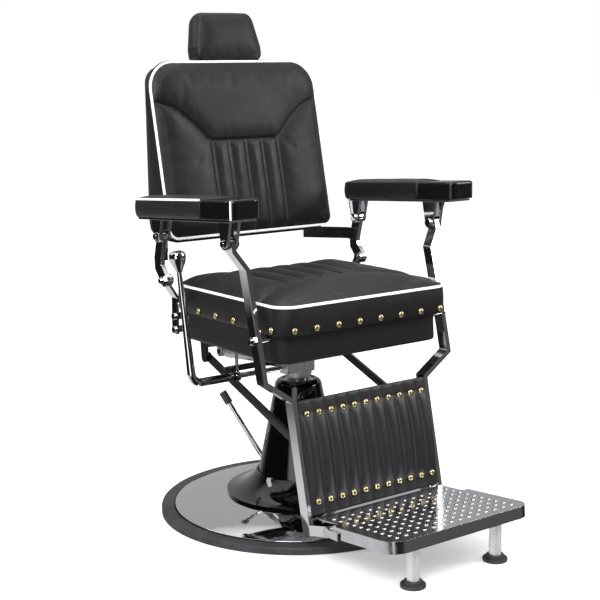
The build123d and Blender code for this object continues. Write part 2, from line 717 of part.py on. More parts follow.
def make_leg_frame():
    side_route = [ARM_FRONT_PIVOT, FRONT_PIVOT, (CALF_TOP[0], SEAT_BOTTOM_Z - 38), CALF_TOP, CALF_BOTTOM]
    toe = [CALF_BOTTOM, (CALF_BOTTOM[0] - 30, FOOTREST_HINGE[1] - 12), FOOTREST_HINGE]
    top_z = ARM_FRONT_PIVOT[1] + BAR_WIDTH
    for name, side in SIDES.items():
        front_route = [(side * arm_bar_mid, top_z), (side * arm_bar_mid, ARM_FRONT_PIVOT[1] - 17),
                       (side * bar_mid, ARM_FRONT_PIVOT[1] - 59), (side * bar_mid, SEAT_BOTTOM_Z - 38),
                       (side * calf_bar_mid, CALF_TOP[1]), (side * calf_bar_mid, 30)]
        with BuildPart() as front_bar:
            with BuildSketch(side_plane(side * 100)):
                with BuildLine():
                    Polyline(*strip(side_route, BAR_WIDTH), close=True)
                make_face()
                with BuildLine():
                    Polyline(*strip(toe, BAR_WIDTH - 4), close=True)
                make_face()
                with Locations(ARM_FRONT_PIVOT, CALF_BOTTOM):
                    Circle(BAR_WIDTH / 2)
                with Locations(FOOTREST_HINGE):
                    Circle(BAR_WIDTH / 2 - 2)
            extrude(amount=side * 300)
            with BuildSketch(Plane.XZ.offset(-100)):
                with BuildLine():
                    Polyline(*strip(front_route, BAR_THICKNESS), close=True)
                make_face()
            extrude(amount=600, mode=Mode.INTERSECT)
            with BuildSketch(side_plane(side * 100)):
                with Locations(ARM_FRONT_PIVOT):
                    Circle(OPEN_HOLE_RADIUS)
                with Locations(FRONT_PIVOT):
                    Circle(PIN_RADIUS + FIT)
                with Locations(FOOTREST_HINGE):
                    Circle(PIN_RADIUS + FIT)
            extrude(amount=side * 300, mode=Mode.SUBTRACT)
            with BuildSketch(side_plane(side * (link_in - 1.2))):
                with Locations(LINK_FRONT_PIVOT):
                    Circle(OPEN_PIN_RADIUS)
            extrude(amount=side * (calf_bar_mid - link_in + 1.2))
        save(front_bar, f"front_bar_{name}")

    lean = atan2(CALF_TOP[0] - CALF_BOTTOM[0], CALF_TOP[1] - CALF_BOTTOM[1])
    face_plane = Plane(origin=(0, *panel_point(0)), x_dir=(1, 0, 0), z_dir=(0, -cos(lean), sin(lean)))
    with BuildPart() as calf_pad:
        with BuildSketch(face_plane.offset(-CALF_PAD_THICKNESS)):
            with Locations((0, PANEL_HEIGHT / 2)):
                RectangleRounded(2 * CALF_HALF, PANEL_HEIGHT, 8)
        extrude(amount=CALF_PAD_THICKNESS)
        fillet(calf_pad.faces().sort_by(Axis((0, 0, 0), face_plane.z_dir))[-1].edges(), 3)
    save(calf_pad, "calf_pad")

    with BuildPart() as calf_board:
        with BuildSketch(face_plane.offset(-CALF_PAD_THICKNESS - GAP)):
            with Locations((0, PANEL_HEIGHT / 2)):
                RectangleRounded(2 * (link_in - 3), PANEL_HEIGHT - 12, 8)
        extrude(amount=-9)
    save(calf_board, "calf_board")

    with BuildPart() as calf_nails:
        with BuildSketch(face_plane.offset(NAIL_GAP)):
            with Locations((0, PANEL_HEIGHT / 2)):
                with GridLocations((2 * CALF_HALF - 36) / 10, PANEL_HEIGHT - 62, 11, 2):
                    Circle(NAIL_RADIUS)
        extrude(amount=NAIL_HEIGHT, taper=38)
    save(calf_nails, "calf_nails")

    with BuildPart() as leg_cross_tubes:
        for height in (30, PANEL_HEIGHT - 26):
            y, z = panel_point(height)
            centre = (y + CALF_PAD_THICKNESS + GAP + 9 + GAP + 8.5, z)
            with BuildSketch(side_plane(-calf_bar_in + GAP)):
                with Locations(centre):
                    Circle(8)
            extrude(amount=2 * (calf_bar_in - GAP))
    save(leg_cross_tubes, "leg_cross_tubes")


PANEL_HEIGHT = 262.0
CALF_PAD_THICKNESS = 10.0        # its padding and cover


def panel_point(height):
    """Side-view place on the calf panel's face, a height up from its lower edge."""
    run = hypot(CALF_TOP[0] - CALF_BOTTOM[0], CALF_TOP[1] - CALF_BOTTOM[1])
    step = ((CALF_TOP[0] - CALF_BOTTOM[0]) / run, (CALF_TOP[1] - CALF_BOTTOM[1]) / run)
    foot = (CALF_BOTTOM[0] + step[0] * 34 - 18, CALF_BOTTOM[1] + step[1] * 34)
    return foot[0] + step[0] * height, foot[1] + step[1] * height


# ---------------------------------------------------------------- footrest


def make_footrest():
    slope = radians(FOOTREST_SLOPE)
    rear = (FOOTREST_HINGE[0] + 62, FOOTREST_HINGE[1] + 9)
    plate_plane = Plane(origin=(0, *rear), x_dir=(1, 0, 0), z_dir=(0, sin(slope), cos(slope)))
    corner = 40.0
    sheet = 3.0
    inner_half = calf_bar_in - 3
    hinge_s = 62.0
    main_length = FOOTREST_LENGTH - hinge_s - 16
    with BuildPart() as footrest_plate:
        with BuildSketch(plate_plane) as main_sheet:
            with Locations((0, -(FOOTREST_LENGTH + hinge_s + 16) / 2)):
                Rectangle(2 * FOOTREST_HALF, main_length)
            fillet(main_sheet.vertices().group_by(Axis.Y)[0], corner)
            with Locations((0, -(hinge_s + 30) / 2)):
                Rectangle(2 * inner_half, hinge_s + 30)
        extrude(amount=sheet)
        with BuildSketch(plate_plane) as rim:
            with Locations((0, -(FOOTREST_LENGTH + hinge_s + 16) / 2)):
                Rectangle(2 * FOOTREST_HALF, main_length)
            fillet(rim.vertices().group_by(Axis.Y)[0], corner)
            offset(amount=-4, mode=Mode.SUBTRACT)
            with Locations((0, -hinge_s - 16)):
                Rectangle(2 * FOOTREST_HALF - 8, 20, mode=Mode.SUBTRACT)
        extrude(amount=-FOOTREST_RIM)
        with BuildSketch(plate_plane.offset(sheet)):
            with Locations((0, -FOOTREST_LENGTH / 2 - 4)):
                with GridLocations(26, 24, 14, 10):
                    Circle(5)
        extrude(amount=1.6, taper=30)
        for side in SIDES.values():
            with BuildSketch(side_plane(side * (calf_bar_mid + BAR_THICKNESS / 2 + 1))):
                with Locations(FOOTREST_HINGE):
                    Circle(12)
                with Locations((FOOTREST_HINGE[0] - 20, FOOTREST_HINGE[1] + 1)):
                    Rectangle(42, 18)
            extrude(amount=side * 6)
            with BuildSketch(side_plane(side * (calf_bar_in - 1))):
                with Locations(FOOTREST_HINGE):
                    Circle(PIN_RADIUS)
            extrude(amount=side * (BAR_THICKNESS + 6))
    save(footrest_plate, "footrest_plate")

    top = footrest_height(LEG_Y) - GAP
    with BuildPart() as footrest_legs:
        with BuildSketch(Plane.XY.offset(GLIDE_TOP_Z)):
            with Locations((-LEG_X, LEG_Y), (LEG_X, LEG_Y)):
                Circle(LEG_RADIUS)
        extrude(amount=top - GLIDE_TOP_Z)
    save(footrest_legs, "footrest_legs")

    with BuildPart() as footrest_glides:
        with BuildSketch(Plane.XY):
            with Locations((-LEG_X, LEG_Y), (LEG_X, LEG_Y)):
                Circle(GLIDE_RADIUS)
        extrude(amount=7)
        with BuildSketch(Plane.XY.offset(7)):
            with Locations((-LEG_X, LEG_Y), (LEG_X, LEG_Y)):
                Circle(LEG_RADIUS + 6)
        extrude(amount=GLIDE_TOP_Z - 7 - GAP)
    save(footrest_glides, "footrest_glides")


GLIDE_TOP_Z = 15.0


def footrest_height(y):
    """Underside of the footrest's sheet at a place in the side view."""
    slope = radians(FOOTREST_SLOPE)
    rear = (FOOTREST_HINGE[0] + 62, FOOTREST_HINGE[1] + 9)
    return rear[1] + (rear[0] - y + LEG_RADIUS) * sin(slope) / cos(slope) - 2 * LEG_RADIUS * sin(slope)


# ---------------------------------------------------------------- back and headrest


def make_back():
    side_route = [ARM_REAR_PIVOT, (148, 646), (147, 626), BACK_PIVOT]
    for name, side in SIDES.items():
        with BuildPart() as side_bar:
            with BuildSketch(side_plane(side * arm_bar_in)):
                with BuildLine():
                    Polyline(*strip(side_route, BAR_WIDTH + 2), close=True)
                make_face()
                with Locations(ARM_REAR_PIVOT):
                    Circle(BAR_WIDTH / 2)
                with Locations(BACK_PIVOT):
                    Circle(BAR_WIDTH / 2 + 2)
                with Locations(ARM_REAR_PIVOT, BACK_PIVOT):
                    Circle(PIN_RADIUS + FIT, mode=Mode.SUBTRACT)
            extrude(amount=side * BAR_THICKNESS)
        save(side_bar, f"side_bar_{name}")

    rail_top = BACK_BOTTOM_Z - 4
    bracket_x = arm_bar_in - 4 - GAP
    with BuildPart() as back_brackets:
        for side in SIDES.values():
            route = [(side * bracket_x, 132), (side * bracket_x, 168), (side * (BACK_HALF - 35), 262)]
            with BuildSketch(Plane.XY.offset(BACK_BOTTOM_Z - 42)):
                with BuildLine():
                    Polyline(*strip(route, 8), close=True)
                make_face()
            extrude(amount=30)
        with BuildSketch(Plane.XY.offset(rail_top - 8)):
            with Locations((0, (BACK_FOOT_Y + 14 + BACK_BOARD_Y + BACK_BOARD_THICKNESS) / 2)):
                Rectangle(2 * (BACK_HALF - 26), BACK_BOARD_Y + BACK_BOARD_THICKNESS - BACK_FOOT_Y - 14)
        extrude(amount=8)
    save(back_brackets, "back_brackets")

    with BuildPart() as back_board:
        with BuildSketch(Plane.XZ.offset(-BACK_BOARD_Y)):
            with Locations((0, rail_top + GAP + (BACK_HEIGHT - 8) / 2)):
                RectangleRounded(2 * (BACK_HALF - 8), BACK_HEIGHT - 8, 40)
        extrude(amount=-BACK_BOARD_THICKNESS)
    save(back_board, "back_board")

    top_y, top_z = back_face(BACK_HEIGHT)
    rear_y = BACK_BOARD_Y - GAP
    with BuildPart() as back_cushion:
        with BuildSketch(Plane.XZ):
            with Locations((0, (BACK_BOTTOM_Z + top_z) / 2)):
                Rectangle(2 * BACK_HALF, top_z - BACK_BOTTOM_Z)
        extrude(amount=-rear_y)
        upright = back_cushion.edges().filter_by(Axis.Y)
        fillet(upright.group_by(Axis.Z)[-1], 70)
        fillet(back_cushion.edges().filter_by(Axis.Y).group_by(Axis.Z)[0], 24)
        with BuildSketch(side_plane(-BACK_HALF - 10)):
            with BuildLine():
                Polyline((BACK_FOOT_Y, BACK_BOTTOM_Z), (top_y, top_z), (top_y, top_z + 50),
                         (-50, top_z + 50),
                         (-50, BACK_BOTTOM_Z - 50), (BACK_FOOT_Y - 50 * tan_lean, BACK_BOTTOM_Z - 50),
                         close=True)
            make_face()
        extrude(amount=2 * BACK_HALF + 20, mode=Mode.SUBTRACT)
        front_up = sin(radians(BACK_LEAN))
        front = back_cushion.faces().filter_by(lambda face: abs(face.normal_at().Z - front_up) < 0.01)
        fillet(front.edges(), 7)
    save(back_cushion, "back_cushion")

    slide = Vector(0, sin(radians(BACK_LEAN)), cos(radians(BACK_LEAN)))
    post_top = headrest_plane().from_local_coords(Vector(0, 30, -HEADREST_DEPTH - GAP - POST_THICKNESS))
    post_foot = post_top - slide * POST_LENGTH
    with BuildPart() as headrest_post:
        with BuildSketch(Plane(origin=post_foot, x_dir=(1, 0, 0), z_dir=slide)):
            with Locations((0, -POST_THICKNESS / 2)):
                RectangleRounded(POST_WIDTH, POST_THICKNESS, 2)
        extrude(amount=POST_LENGTH + 40)
    save(headrest_post, "headrest_post")

    socket_plane = Plane(origin=post_foot, x_dir=(1, 0, 0), z_dir=slide)
    board_rear = BACK_BOARD_Y + BACK_BOARD_THICKNESS + GAP
    socket_z = top_z - 96
    with BuildPart() as headrest_socket:
        with BuildSketch(side_plane(-POST_WIDTH / 2 - 7)):
            with BuildLine():
                Polyline((board_rear, socket_z), (board_rear, top_z - 16), (board_rear + 44, top_z - 16),
                         (board_rear + 30, socket_z), close=True)
            make_face()
        extrude(amount=POST_WIDTH + 14)
        with BuildSketch(socket_plane):
            with Locations((0, -POST_THICKNESS / 2)):
                Rectangle(POST_WIDTH + 2 * FIT, POST_THICKNESS + 2 * FIT)
        extrude(amount=2 * POST_LENGTH, both=True, mode=Mode.SUBTRACT)
    save(headrest_socket, "headrest_socket")

    with BuildPart() as headrest_pad:
        with BuildSketch(headrest_plane()):
            with BuildLine():
                Polyline((-HEADREST_HALF, 0), (HEADREST_HALF, 0), (HEADREST_HALF, HEADREST_HEIGHT * 0.3),
                         (HEADREST_TOP_HALF, HEADREST_HEIGHT), (-HEADREST_TOP_HALF, HEADREST_HEIGHT),
                         (-HEADREST_HALF, HEADREST_HEIGHT * 0.3), close=True)
            make_face()
        extrude(amount=-HEADREST_DEPTH)
        uprights = headrest_pad.edges().filter_by(Axis((0, 0, 0), headrest_plane().z_dir))
        fillet(uprights.group_by(Axis.Z)[-1], 22)
        uprights = headrest_pad.edges().filter_by(Axis((0, 0, 0), headrest_plane().z_dir))
        fillet(uprights.group_by(Axis.Z)[0], 12)
        broad = headrest_pad.faces().filter_by(Axis((0, 0, 0), headrest_plane().z_dir))
        fillet(broad.edges(), 8)
    save(headrest_pad, "headrest_pad")


POST_LENGTH = 130.0
tan_lean = sin(radians(BACK_LEAN)) / cos(radians(BACK_LEAN))


def back_face(height):
    """Side-view place on the front face of the back, a height up from its lower edge."""
    return BACK_FOOT_Y + height * tan_lean, BACK_BOTTOM_Z + height


def headrest_plane():
    """Front face of the headrest, from the middle of its lower edge, with its normal looking forward."""
    lean = radians(BACK_LEAN)
    return Plane(origin=(0, *back_face(BACK_HEIGHT + 4)), x_dir=(1, 0, 0), z_dir=(0, -cos(lean), sin(lean)))


# ---------------------------------------------------------------- armrests


def arm_bottom(y):
    """Height of the underside of an armrest's pad at a place along it."""
    return ARM_BOTTOM_FRONT_Z - ARM_DROP * (y - ARM_FRONT) / (ARM_REAR - ARM_FRONT)


def arm_outline(start, end, low, high):
    """Side-view outline of a length of armrest, from one height above its underside line to another."""
    return [(start, arm_bottom(start) + low), (end, arm_bottom(end) + low), (end, arm_bottom(end) + high),
            (start, arm_bottom(start) + high)]


def make_arms():
    split = ARM_FRONT + ARM_CAP_LENGTH
    for name, side in SIDES.items():
        inner = side * (arm_mid - ARM_WIDTH / 2)
        with BuildPart() as arm_pad:
            with BuildSketch(side_plane(inner)):
                with BuildLine():
                    Polyline(*arm_outline(split + GAP, ARM_REAR, 0, ARM_DEPTH), close=True)
                make_face()
            extrude(amount=side * ARM_WIDTH)
            fillet(arm_pad.faces().sort_by(Axis.Y)[-1].edges().filter_by(Axis.Z), 12)
            fillet(arm_pad.faces().sort_by(Axis.Z)[-1].edges(), 8)
        save(arm_pad, f"arm_pad_{name}")

        with BuildPart() as arm_cap:
            with BuildSketch(side_plane(inner)):
                with BuildLine():
                    Polyline(*arm_outline(ARM_FRONT, split, 1, ARM_DEPTH - 2), close=True)
                make_face()
            extrude(amount=side * ARM_WIDTH)
            fillet(arm_cap.faces().sort_by(Axis.Y)[0].edges().filter_by(Axis.Z), 22)
            fillet(arm_cap.faces().sort_by(Axis.Z)[-1].edges(), 7)
        save(arm_cap, f"arm_cap_{name}")

        pivots = (ARM_FRONT_PIVOT, ARM_REAR_PIVOT)
        ears = (arm_bar_in - EAR_GAP - EAR_THICKNESS, arm_bar_out + EAR_GAP)
        with BuildPart() as arm_base:
            with BuildSketch(side_plane(side * (arm_mid - ARM_WIDTH / 2 + 8))):
                with BuildLine():
                    Polyline(*arm_outline(ARM_FRONT + 14, ARM_REAR - 8, -GAP - ARM_PLATE, -GAP), close=True)
                make_face()
            extrude(amount=side * (ARM_WIDTH - 16))
            for x in ears:
                with BuildSketch(side_plane(side * x)):
                    for y, z in pivots:
                        ear_top = arm_bottom(y) - GAP - 1.5
                        with BuildLine():
                            Polyline((y - 24, ear_top - 2), (y - 12, z - 4), (y + 12, z - 4),
                                     (y + 24, ear_top - 3), close=True)
                        make_face()
                    with Locations(*pivots):
                        Circle(14)
                    with Locations(*pivots):
                        Circle(PIN_RADIUS + FIT, mode=Mode.SUBTRACT)
                extrude(amount=side * EAR_THICKNESS)
        save(arm_base, f"arm_base_{name}")

        bolt_in = ears[0] - 2
        bolt_out = ears[1] + EAR_THICKNESS
        with BuildPart() as arm_bolts:
            with BuildSketch(side_plane(side * bolt_in)):
                with Locations(*pivots):
                    Circle(PIN_RADIUS)
            extrude(amount=side * (bolt_out + 2 - bolt_in))
            with BuildSketch(side_plane(side * (bolt_out + GAP))):
                with Locations(*pivots):
                    Circle(10)
            extrude(amount=side * 6, taper=24)
            with BuildSketch(side_plane(side * (ears[0] - GAP))):
                with Locations(*pivots):
                    Circle(10)
            extrude(amount=side * -4)
        save(arm_bolts, f"arm_bolts_{name}")


EAR_GAP = 1.5

# ---------------------------------------------------------------- rocker, links and lock


def make_rocker():
    hook = [ROCKER_PIVOT, (ROCKER_PIVOT[0] + 44, ROCKER_PIVOT[1] - 12), LINK_REAR_PIVOT]
    with BuildPart() as rocker:
        with BuildSketch(side_plane(-hook_out - 16)):
            with Locations(ROCKER_PIVOT):
                Circle(ROCKER_SHAFT_RADIUS)
        extrude(amount=2 * hook_out + 32)
        for side in SIDES.values():
            with BuildSketch(side_plane(side * hook_in)):
                with BuildLine():
                    Polyline(*strip(hook, 24), close=True)
                make_face()
                with Locations(ROCKER_PIVOT):
                    Circle(16)
                with Locations(LINK_REAR_PIVOT):
                    Circle(12)
            extrude(amount=side * (hook_out - hook_in))
            with BuildSketch(side_plane(side * (link_in - 3))):
                with Locations(LINK_REAR_PIVOT):
                    Circle(PIN_RADIUS)
            extrude(amount=side * (hook_in - link_in + 4))
        with BuildSketch(side_plane(LOCK_X + 8.5)):
            with BuildLine():
                Polyline(*strip([ROCKER_PIVOT, LOCK_REAR_PIVOT], 20), close=True)
            make_face()
            with Locations(ROCKER_PIVOT):
                Circle(15)
            with Locations(LOCK_REAR_PIVOT):
                Circle(11)
        extrude(amount=6)
        with BuildSketch(side_plane(LOCK_X - 10)):
            with Locations(LOCK_REAR_PIVOT):
                Circle(OPEN_PIN_RADIUS)
        extrude(amount=20)
    save(rocker, "rocker")

    for name, side in SIDES.items():
        with BuildPart() as link:
            with BuildSketch(side_plane(side * link_in)):
                with BuildLine():
                    Polyline(*strip([LINK_REAR_PIVOT, LINK_FRONT_PIVOT], 20), close=True)
                make_face()
                with Locations(LINK_REAR_PIVOT):
                    Circle(12)
                with Locations(LINK_FRONT_PIVOT):
                    Circle(OPEN_HOLE_RADIUS + 3)
                with Locations(LINK_REAR_PIVOT):
                    Circle(PIN_RADIUS + FIT, mode=Mode.SUBTRACT)
                with Locations(LINK_FRONT_PIVOT):
                    Circle(OPEN_HOLE_RADIUS, mode=Mode.SUBTRACT)
            extrude(amount=side * (link_out - link_in))
        save(link, f"link_{name}")

    run = Vector(LOCK_FRONT_PIVOT[0] - LOCK_REAR_PIVOT[0], LOCK_FRONT_PIVOT[1] - LOCK_REAR_PIVOT[1])
    ahead = Vector(0, run.X, run.Y).normalized()
    rear = Vector(LOCK_X, *LOCK_REAR_PIVOT)
    with BuildPart() as lock_cylinder:
        with BuildSketch(side_plane(LOCK_X - 7)):
            with Locations(LOCK_REAR_PIVOT):
                Circle(13)
        extrude(amount=14)
        with BuildSketch(Plane(origin=rear + ahead * 8, z_dir=ahead)):
            Circle(6)
        extrude(amount=LOCK_BODY_START)
        with BuildSketch(Plane(origin=rear + ahead * LOCK_BODY_START, z_dir=ahead)):
            Circle(LOCK_BODY_RADIUS)
        extrude(amount=LOCK_BODY_LENGTH)
        with BuildSketch(Plane(origin=rear + ahead * (LOCK_BODY_START + 10), z_dir=ahead)):
            Circle(LOCK_BODY_RADIUS - 3)
        extrude(amount=LOCK_BODY_LENGTH - 16, mode=Mode.SUBTRACT)
        with BuildSketch(Plane(origin=rear + ahead * (LOCK_BODY_START + 10), z_dir=ahead)):
            Circle(LOCK_ROD_RADIUS + FIT)
        extrude(amount=LOCK_BODY_LENGTH, mode=Mode.SUBTRACT)
        with BuildSketch(side_plane(LOCK_X - 20)):
            with Locations(LOCK_REAR_PIVOT):
                Circle(OPEN_PIN_RADIUS + FIT)
        extrude(amount=40, mode=Mode.SUBTRACT)
    save(lock_cylinder, "lock_cylinder")

    piston = LOCK_BODY_START + 62.0
    with BuildPart() as lock_rod:
        with BuildSketch(Plane(origin=rear + ahead * piston, z_dir=ahead)):
            Circle(LOCK_BODY_RADIUS - 3 - FIT)
        extrude(amount=8)
        with BuildSketch(Plane(origin=rear + ahead * piston, z_dir=ahead)):
            Circle(LOCK_ROD_RADIUS)
        extrude(amount=run.length - piston - 12)
        with BuildSketch(side_plane(LOCK_X - 6.5)):
            with Locations(LOCK_FRONT_PIVOT):
                Circle(OPEN_HOLE_RADIUS + 4.5)
                Circle(OPEN_HOLE_RADIUS, mode=Mode.SUBTRACT)
        extrude(amount=13)
    save(lock_rod, "lock_rod")


LOCK_BODY_START = 30.0
LOCK_BODY_LENGTH = 140.0
LOCK_BODY_RADIUS = 14.0
LOCK_ROD_RADIUS = 5.0


def main():
    make_base()
    make_pump()
    make_pedal()
    make_head()
    make_seat()
    make_seat_sides()
    make_seat_underside()
    make_lever()
    make_leg_frame()
    make_footrest()
    make_back()
    make_arms()
    make_rocker()


main()
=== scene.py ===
"""A hydraulic barber chair: its upholstery, chrome and black enamel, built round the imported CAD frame.

Everything is in metres, in the frame's own axes: +Z up, the chair faces -Y, the hand lever is on the -X side.
"""

import math

import bmesh
import bpy
import numpy as np
from mathutils import Matrix, Vector
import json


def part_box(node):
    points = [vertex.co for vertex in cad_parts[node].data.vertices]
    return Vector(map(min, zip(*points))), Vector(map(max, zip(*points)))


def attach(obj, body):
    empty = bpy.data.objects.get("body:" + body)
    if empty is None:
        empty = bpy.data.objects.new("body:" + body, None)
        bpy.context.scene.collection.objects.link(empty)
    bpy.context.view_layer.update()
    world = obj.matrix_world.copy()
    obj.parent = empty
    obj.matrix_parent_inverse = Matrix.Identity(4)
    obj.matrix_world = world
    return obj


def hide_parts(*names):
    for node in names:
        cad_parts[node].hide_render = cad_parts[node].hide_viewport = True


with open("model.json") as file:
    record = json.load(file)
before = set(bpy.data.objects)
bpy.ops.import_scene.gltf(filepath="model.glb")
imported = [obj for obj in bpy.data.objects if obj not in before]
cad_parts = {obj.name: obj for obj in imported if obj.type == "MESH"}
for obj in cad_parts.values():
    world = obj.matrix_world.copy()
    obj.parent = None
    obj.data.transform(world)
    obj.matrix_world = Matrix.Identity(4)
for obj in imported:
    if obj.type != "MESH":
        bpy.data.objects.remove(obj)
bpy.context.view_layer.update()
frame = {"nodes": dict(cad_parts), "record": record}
MM = 0.001

# ---------------------------------------------------------------- camera
# A long portrait lens at chest height, a few steps off the chair's front left corner. It is tipped down
# a little, and it is rolled by less than a degree.

def placed(name, data):
    """An object in the scene that shows some data."""
    made = bpy.data.objects.new(name, data)
    bpy.context.scene.collection.objects.link(made)
    return made


camera_at = Vector((-1.8370, -2.5221, 1.0884))
ahead = Vector((0.58123, 0.79437, -0.17649)).normalized()
camera_roll = math.radians(-0.732)
level_right = ahead.cross(Vector((0, 0, 1))).normalized()
level_up = level_right.cross(ahead)
right = level_right * math.cos(camera_roll) + level_up * math.sin(camera_roll)
up = level_up * math.cos(camera_roll) - level_right * math.sin(camera_roll)
camera_data = bpy.data.cameras.new("camera")
camera_data.sensor_width = 36.0
camera_data.lens = 76.79
camera_data.clip_end = 200.0
camera = placed("camera", camera_data)
camera.matrix_world = Matrix((
    (right.x, up.x, -ahead.x, camera_at.x),
    (right.y, up.y, -ahead.y, camera_at.y),
    (right.z, up.z, -ahead.z, camera_at.z),
    (0, 0, 0, 1)))
bpy.context.scene.camera = camera

# ---------------------------------------------------------------- studio
# A white paper floor under four soft boxes, glowing a little, so that it meets the backdrop without a line.
# Polished metal sees a room of its own instead: a grey wall, a patch of floor, a white strip to one side
# and a pale ceiling, with almost nothing between them.


def linear(hex_colour, alpha=1.0):
    """An sRGB hex colour as linear values."""
    channels = [int(hex_colour[i:i + 2], 16) / 255 for i in (1, 3, 5)]
    return [c / 12.92 if c <= 0.04045 else ((c + 0.055) / 1.055) ** 2.4 for c in channels] + [alpha]


def add_node(tree, kind, settings=(), **inputs):
    """Add a node, then set or link its inputs, named with _ for a space or numbered as i0, i1 and so on."""
    made = tree.nodes.new(kind)
    for key, value in dict(settings).items():
        setattr(made, key, value)
    for key, value in inputs.items():
        numbered = key[0] == "i" and key[1:].isdigit()
        socket = made.inputs[int(key[1:]) if numbered else key.replace("_", " ")]
        if isinstance(value, bpy.types.NodeSocket):
            tree.links.new(value, socket)
        else:
            socket.default_value = value
    return made


def soft_box(name, place, aim, size, watts):
    """A rectangular lamp, turned from its place to its aim."""
    data = bpy.data.lights.new(name, "AREA")
    data.shape = "RECTANGLE"
    data.size, data.size_y = size
    data.energy = watts
    light = placed(name, data)
    light.location = place
    light.rotation_euler = (Vector(aim) - Vector(place)).to_track_quat("-Z", "Y").to_euler()


floor_mesh = bpy.data.meshes.new("floor")
floor_edge = [(40 * math.cos(i * math.pi / 32), 40 * math.sin(i * math.pi / 32), 0) for i in range(64)]
floor_mesh.from_pydata(floor_edge, [], [list(range(64))])
floor = placed("floor", floor_mesh)
floor_paper = bpy.data.materials.new("matt_white_paper")
floor_paper.use_nodes = True
floor_paper.node_tree.nodes.clear()
paper = add_node(floor_paper.node_tree, "ShaderNodeBsdfPrincipled", Base_Color=linear("#f4f4f4"),
                 Roughness=0.9, Emission_Color=linear("#ffffff"), Emission_Strength=0.3)
add_node(floor_paper.node_tree, "ShaderNodeOutputMaterial", Surface=paper.outputs[0])
floor.data.materials.append(floor_paper)
floor.visible_glossy = False

room = bpy.data.worlds.new("studio")
bpy.context.scene.world = room
bpy.context.scene.view_settings.view_transform = "Standard"
room.use_nodes = True
tree = room.node_tree
tree.nodes.clear()
compass = add_node(tree, "ShaderNodeTexCoord")
looking = compass.outputs["Generated"]
height = add_node(tree, "ShaderNodeSeparateXYZ", Vector=looking).outputs[2]


def lit(value, start, end, level):
    """A soft step from dark to a level."""
    return add_node(tree, "ShaderNodeMapRange", {"interpolation_type": "SMOOTHSTEP"}, Value=value,
                    From_Min=start, From_Max=end, To_Max=level).outputs[0]


def towards(direction):
    """How nearly a ray looks along a direction."""
    return add_node(tree, "ShaderNodeVectorMath", {"operation": "DOT_PRODUCT"}, i0=looking,
                    i1=direction).outputs["Value"]


wall = lit(towards((0.58, 0.81, 0.25)), 0.35, 0.9, 0.42)
low_floor = add_node(tree, "ShaderNodeMath", {"operation": "MULTIPLY"}, i0=lit(height, -0.23, -0.32, 0.7),
                     i1=lit(towards((-0.58, 0.79, 0.0)), 0.1, 0.6, 1.0)).outputs[0]
strip = lit(towards((-0.81, -0.58, 0.0)), 0.955, 0.985, 1.6)
ceiling = lit(height, 0.55, 0.8, 0.9)
front = lit(towards((0.58, -0.79, -0.2)), 0.75, 0.98, 0.10)
level = 0.012
for part in (wall, low_floor, strip, ceiling, front):
    level = add_node(tree, "ShaderNodeMath", {"operation": "MAXIMUM"}, i0=part, i1=level).outputs[0]
room_light = add_node(tree, "ShaderNodeCombineColor", i0=level, i1=level, i2=level)
path = add_node(tree, "ShaderNodeLightPath")
fill = add_node(tree, "ShaderNodeMix", {"data_type": "RGBA"}, Factor=path.outputs["Is Diffuse Ray"])
tree.links.new(room_light.outputs[0], fill.inputs[6])
fill.inputs[7].default_value = (1.0, 1.0, 1.01, 1)
seen = add_node(tree, "ShaderNodeMix", {"data_type": "RGBA"}, Factor=path.outputs["Is Camera Ray"])
tree.links.new(fill.outputs[2], seen.inputs[6])
seen.inputs[7].default_value = (1.0, 1.0, 1.0, 1)
sky = add_node(tree, "ShaderNodeBackground", Color=seen.outputs[2], Strength=1.0)
add_node(tree, "ShaderNodeOutputWorld", Surface=sky.outputs[0])

soft_box("key", (-2.6, -2.4, 2.9), (0, 0, 0.6), (1.6, 1.6), 95)
soft_box("fill", (2.8, -2.2, 2.2), (0, -0.1, 0.5), (1.4, 2.0), 55)
soft_box("top", (0.2, 0.4, 3.2), (0, 0, 0.5), (2.0, 2.0), 22)
soft_box("edge", (-2.4, 2.0, 2.4), (0, 0, 0.6), (0.6, 1.6), 18)

# ---------------------------------------------------------------- polished chrome
# Flat steel bars, tubes and pressings, ground, polished and chrome plated. Their corners are eased in
# polishing, so each keeps a thin bright line. Plated steel mirrors its surroundings almost sharply.

node_body = {n: body for body, names in frame["record"]["behaviour"]["bodies"].items() for n in names}


def blank_material(name):
    """A material with an empty node tree, that tree, and where each point lies on its object."""
    made = bpy.data.materials.new(name)
    made.use_nodes = True
    made.node_tree.nodes.clear()
    return made, made.node_tree, add_node(made.node_tree, "ShaderNodeTexCoord").outputs["Object"]


def chrome_plate(name, tint, haze, smear):
    """Mirror plating with faint wiping marks and a little haze where hands have been."""
    made, tree, place = blank_material(name)
    wipe = add_node(tree, "ShaderNodeTexNoise", Vector=place, Scale=34.0, Detail=3.0, Roughness=0.6)
    rough = add_node(tree, "ShaderNodeMapRange", Value=wipe.outputs[0], From_Min=0.3, From_Max=0.75,
                     To_Min=haze * 0.6, To_Max=haze * 1.6)
    ripple = add_node(tree, "ShaderNodeTexNoise", Vector=place, Scale=9.0, Detail=1.0)
    bump = add_node(tree, "ShaderNodeBump", Height=ripple.outputs[0], Strength=smear, Distance=0.002)
    shine = add_node(tree, "ShaderNodeBsdfPrincipled", Base_Color=linear(tint), Metallic=1.0,
                     Roughness=rough.outputs[0], Normal=bump.outputs[0])
    add_node(tree, "ShaderNodeOutputMaterial", Surface=shine.outputs[0])
    return made


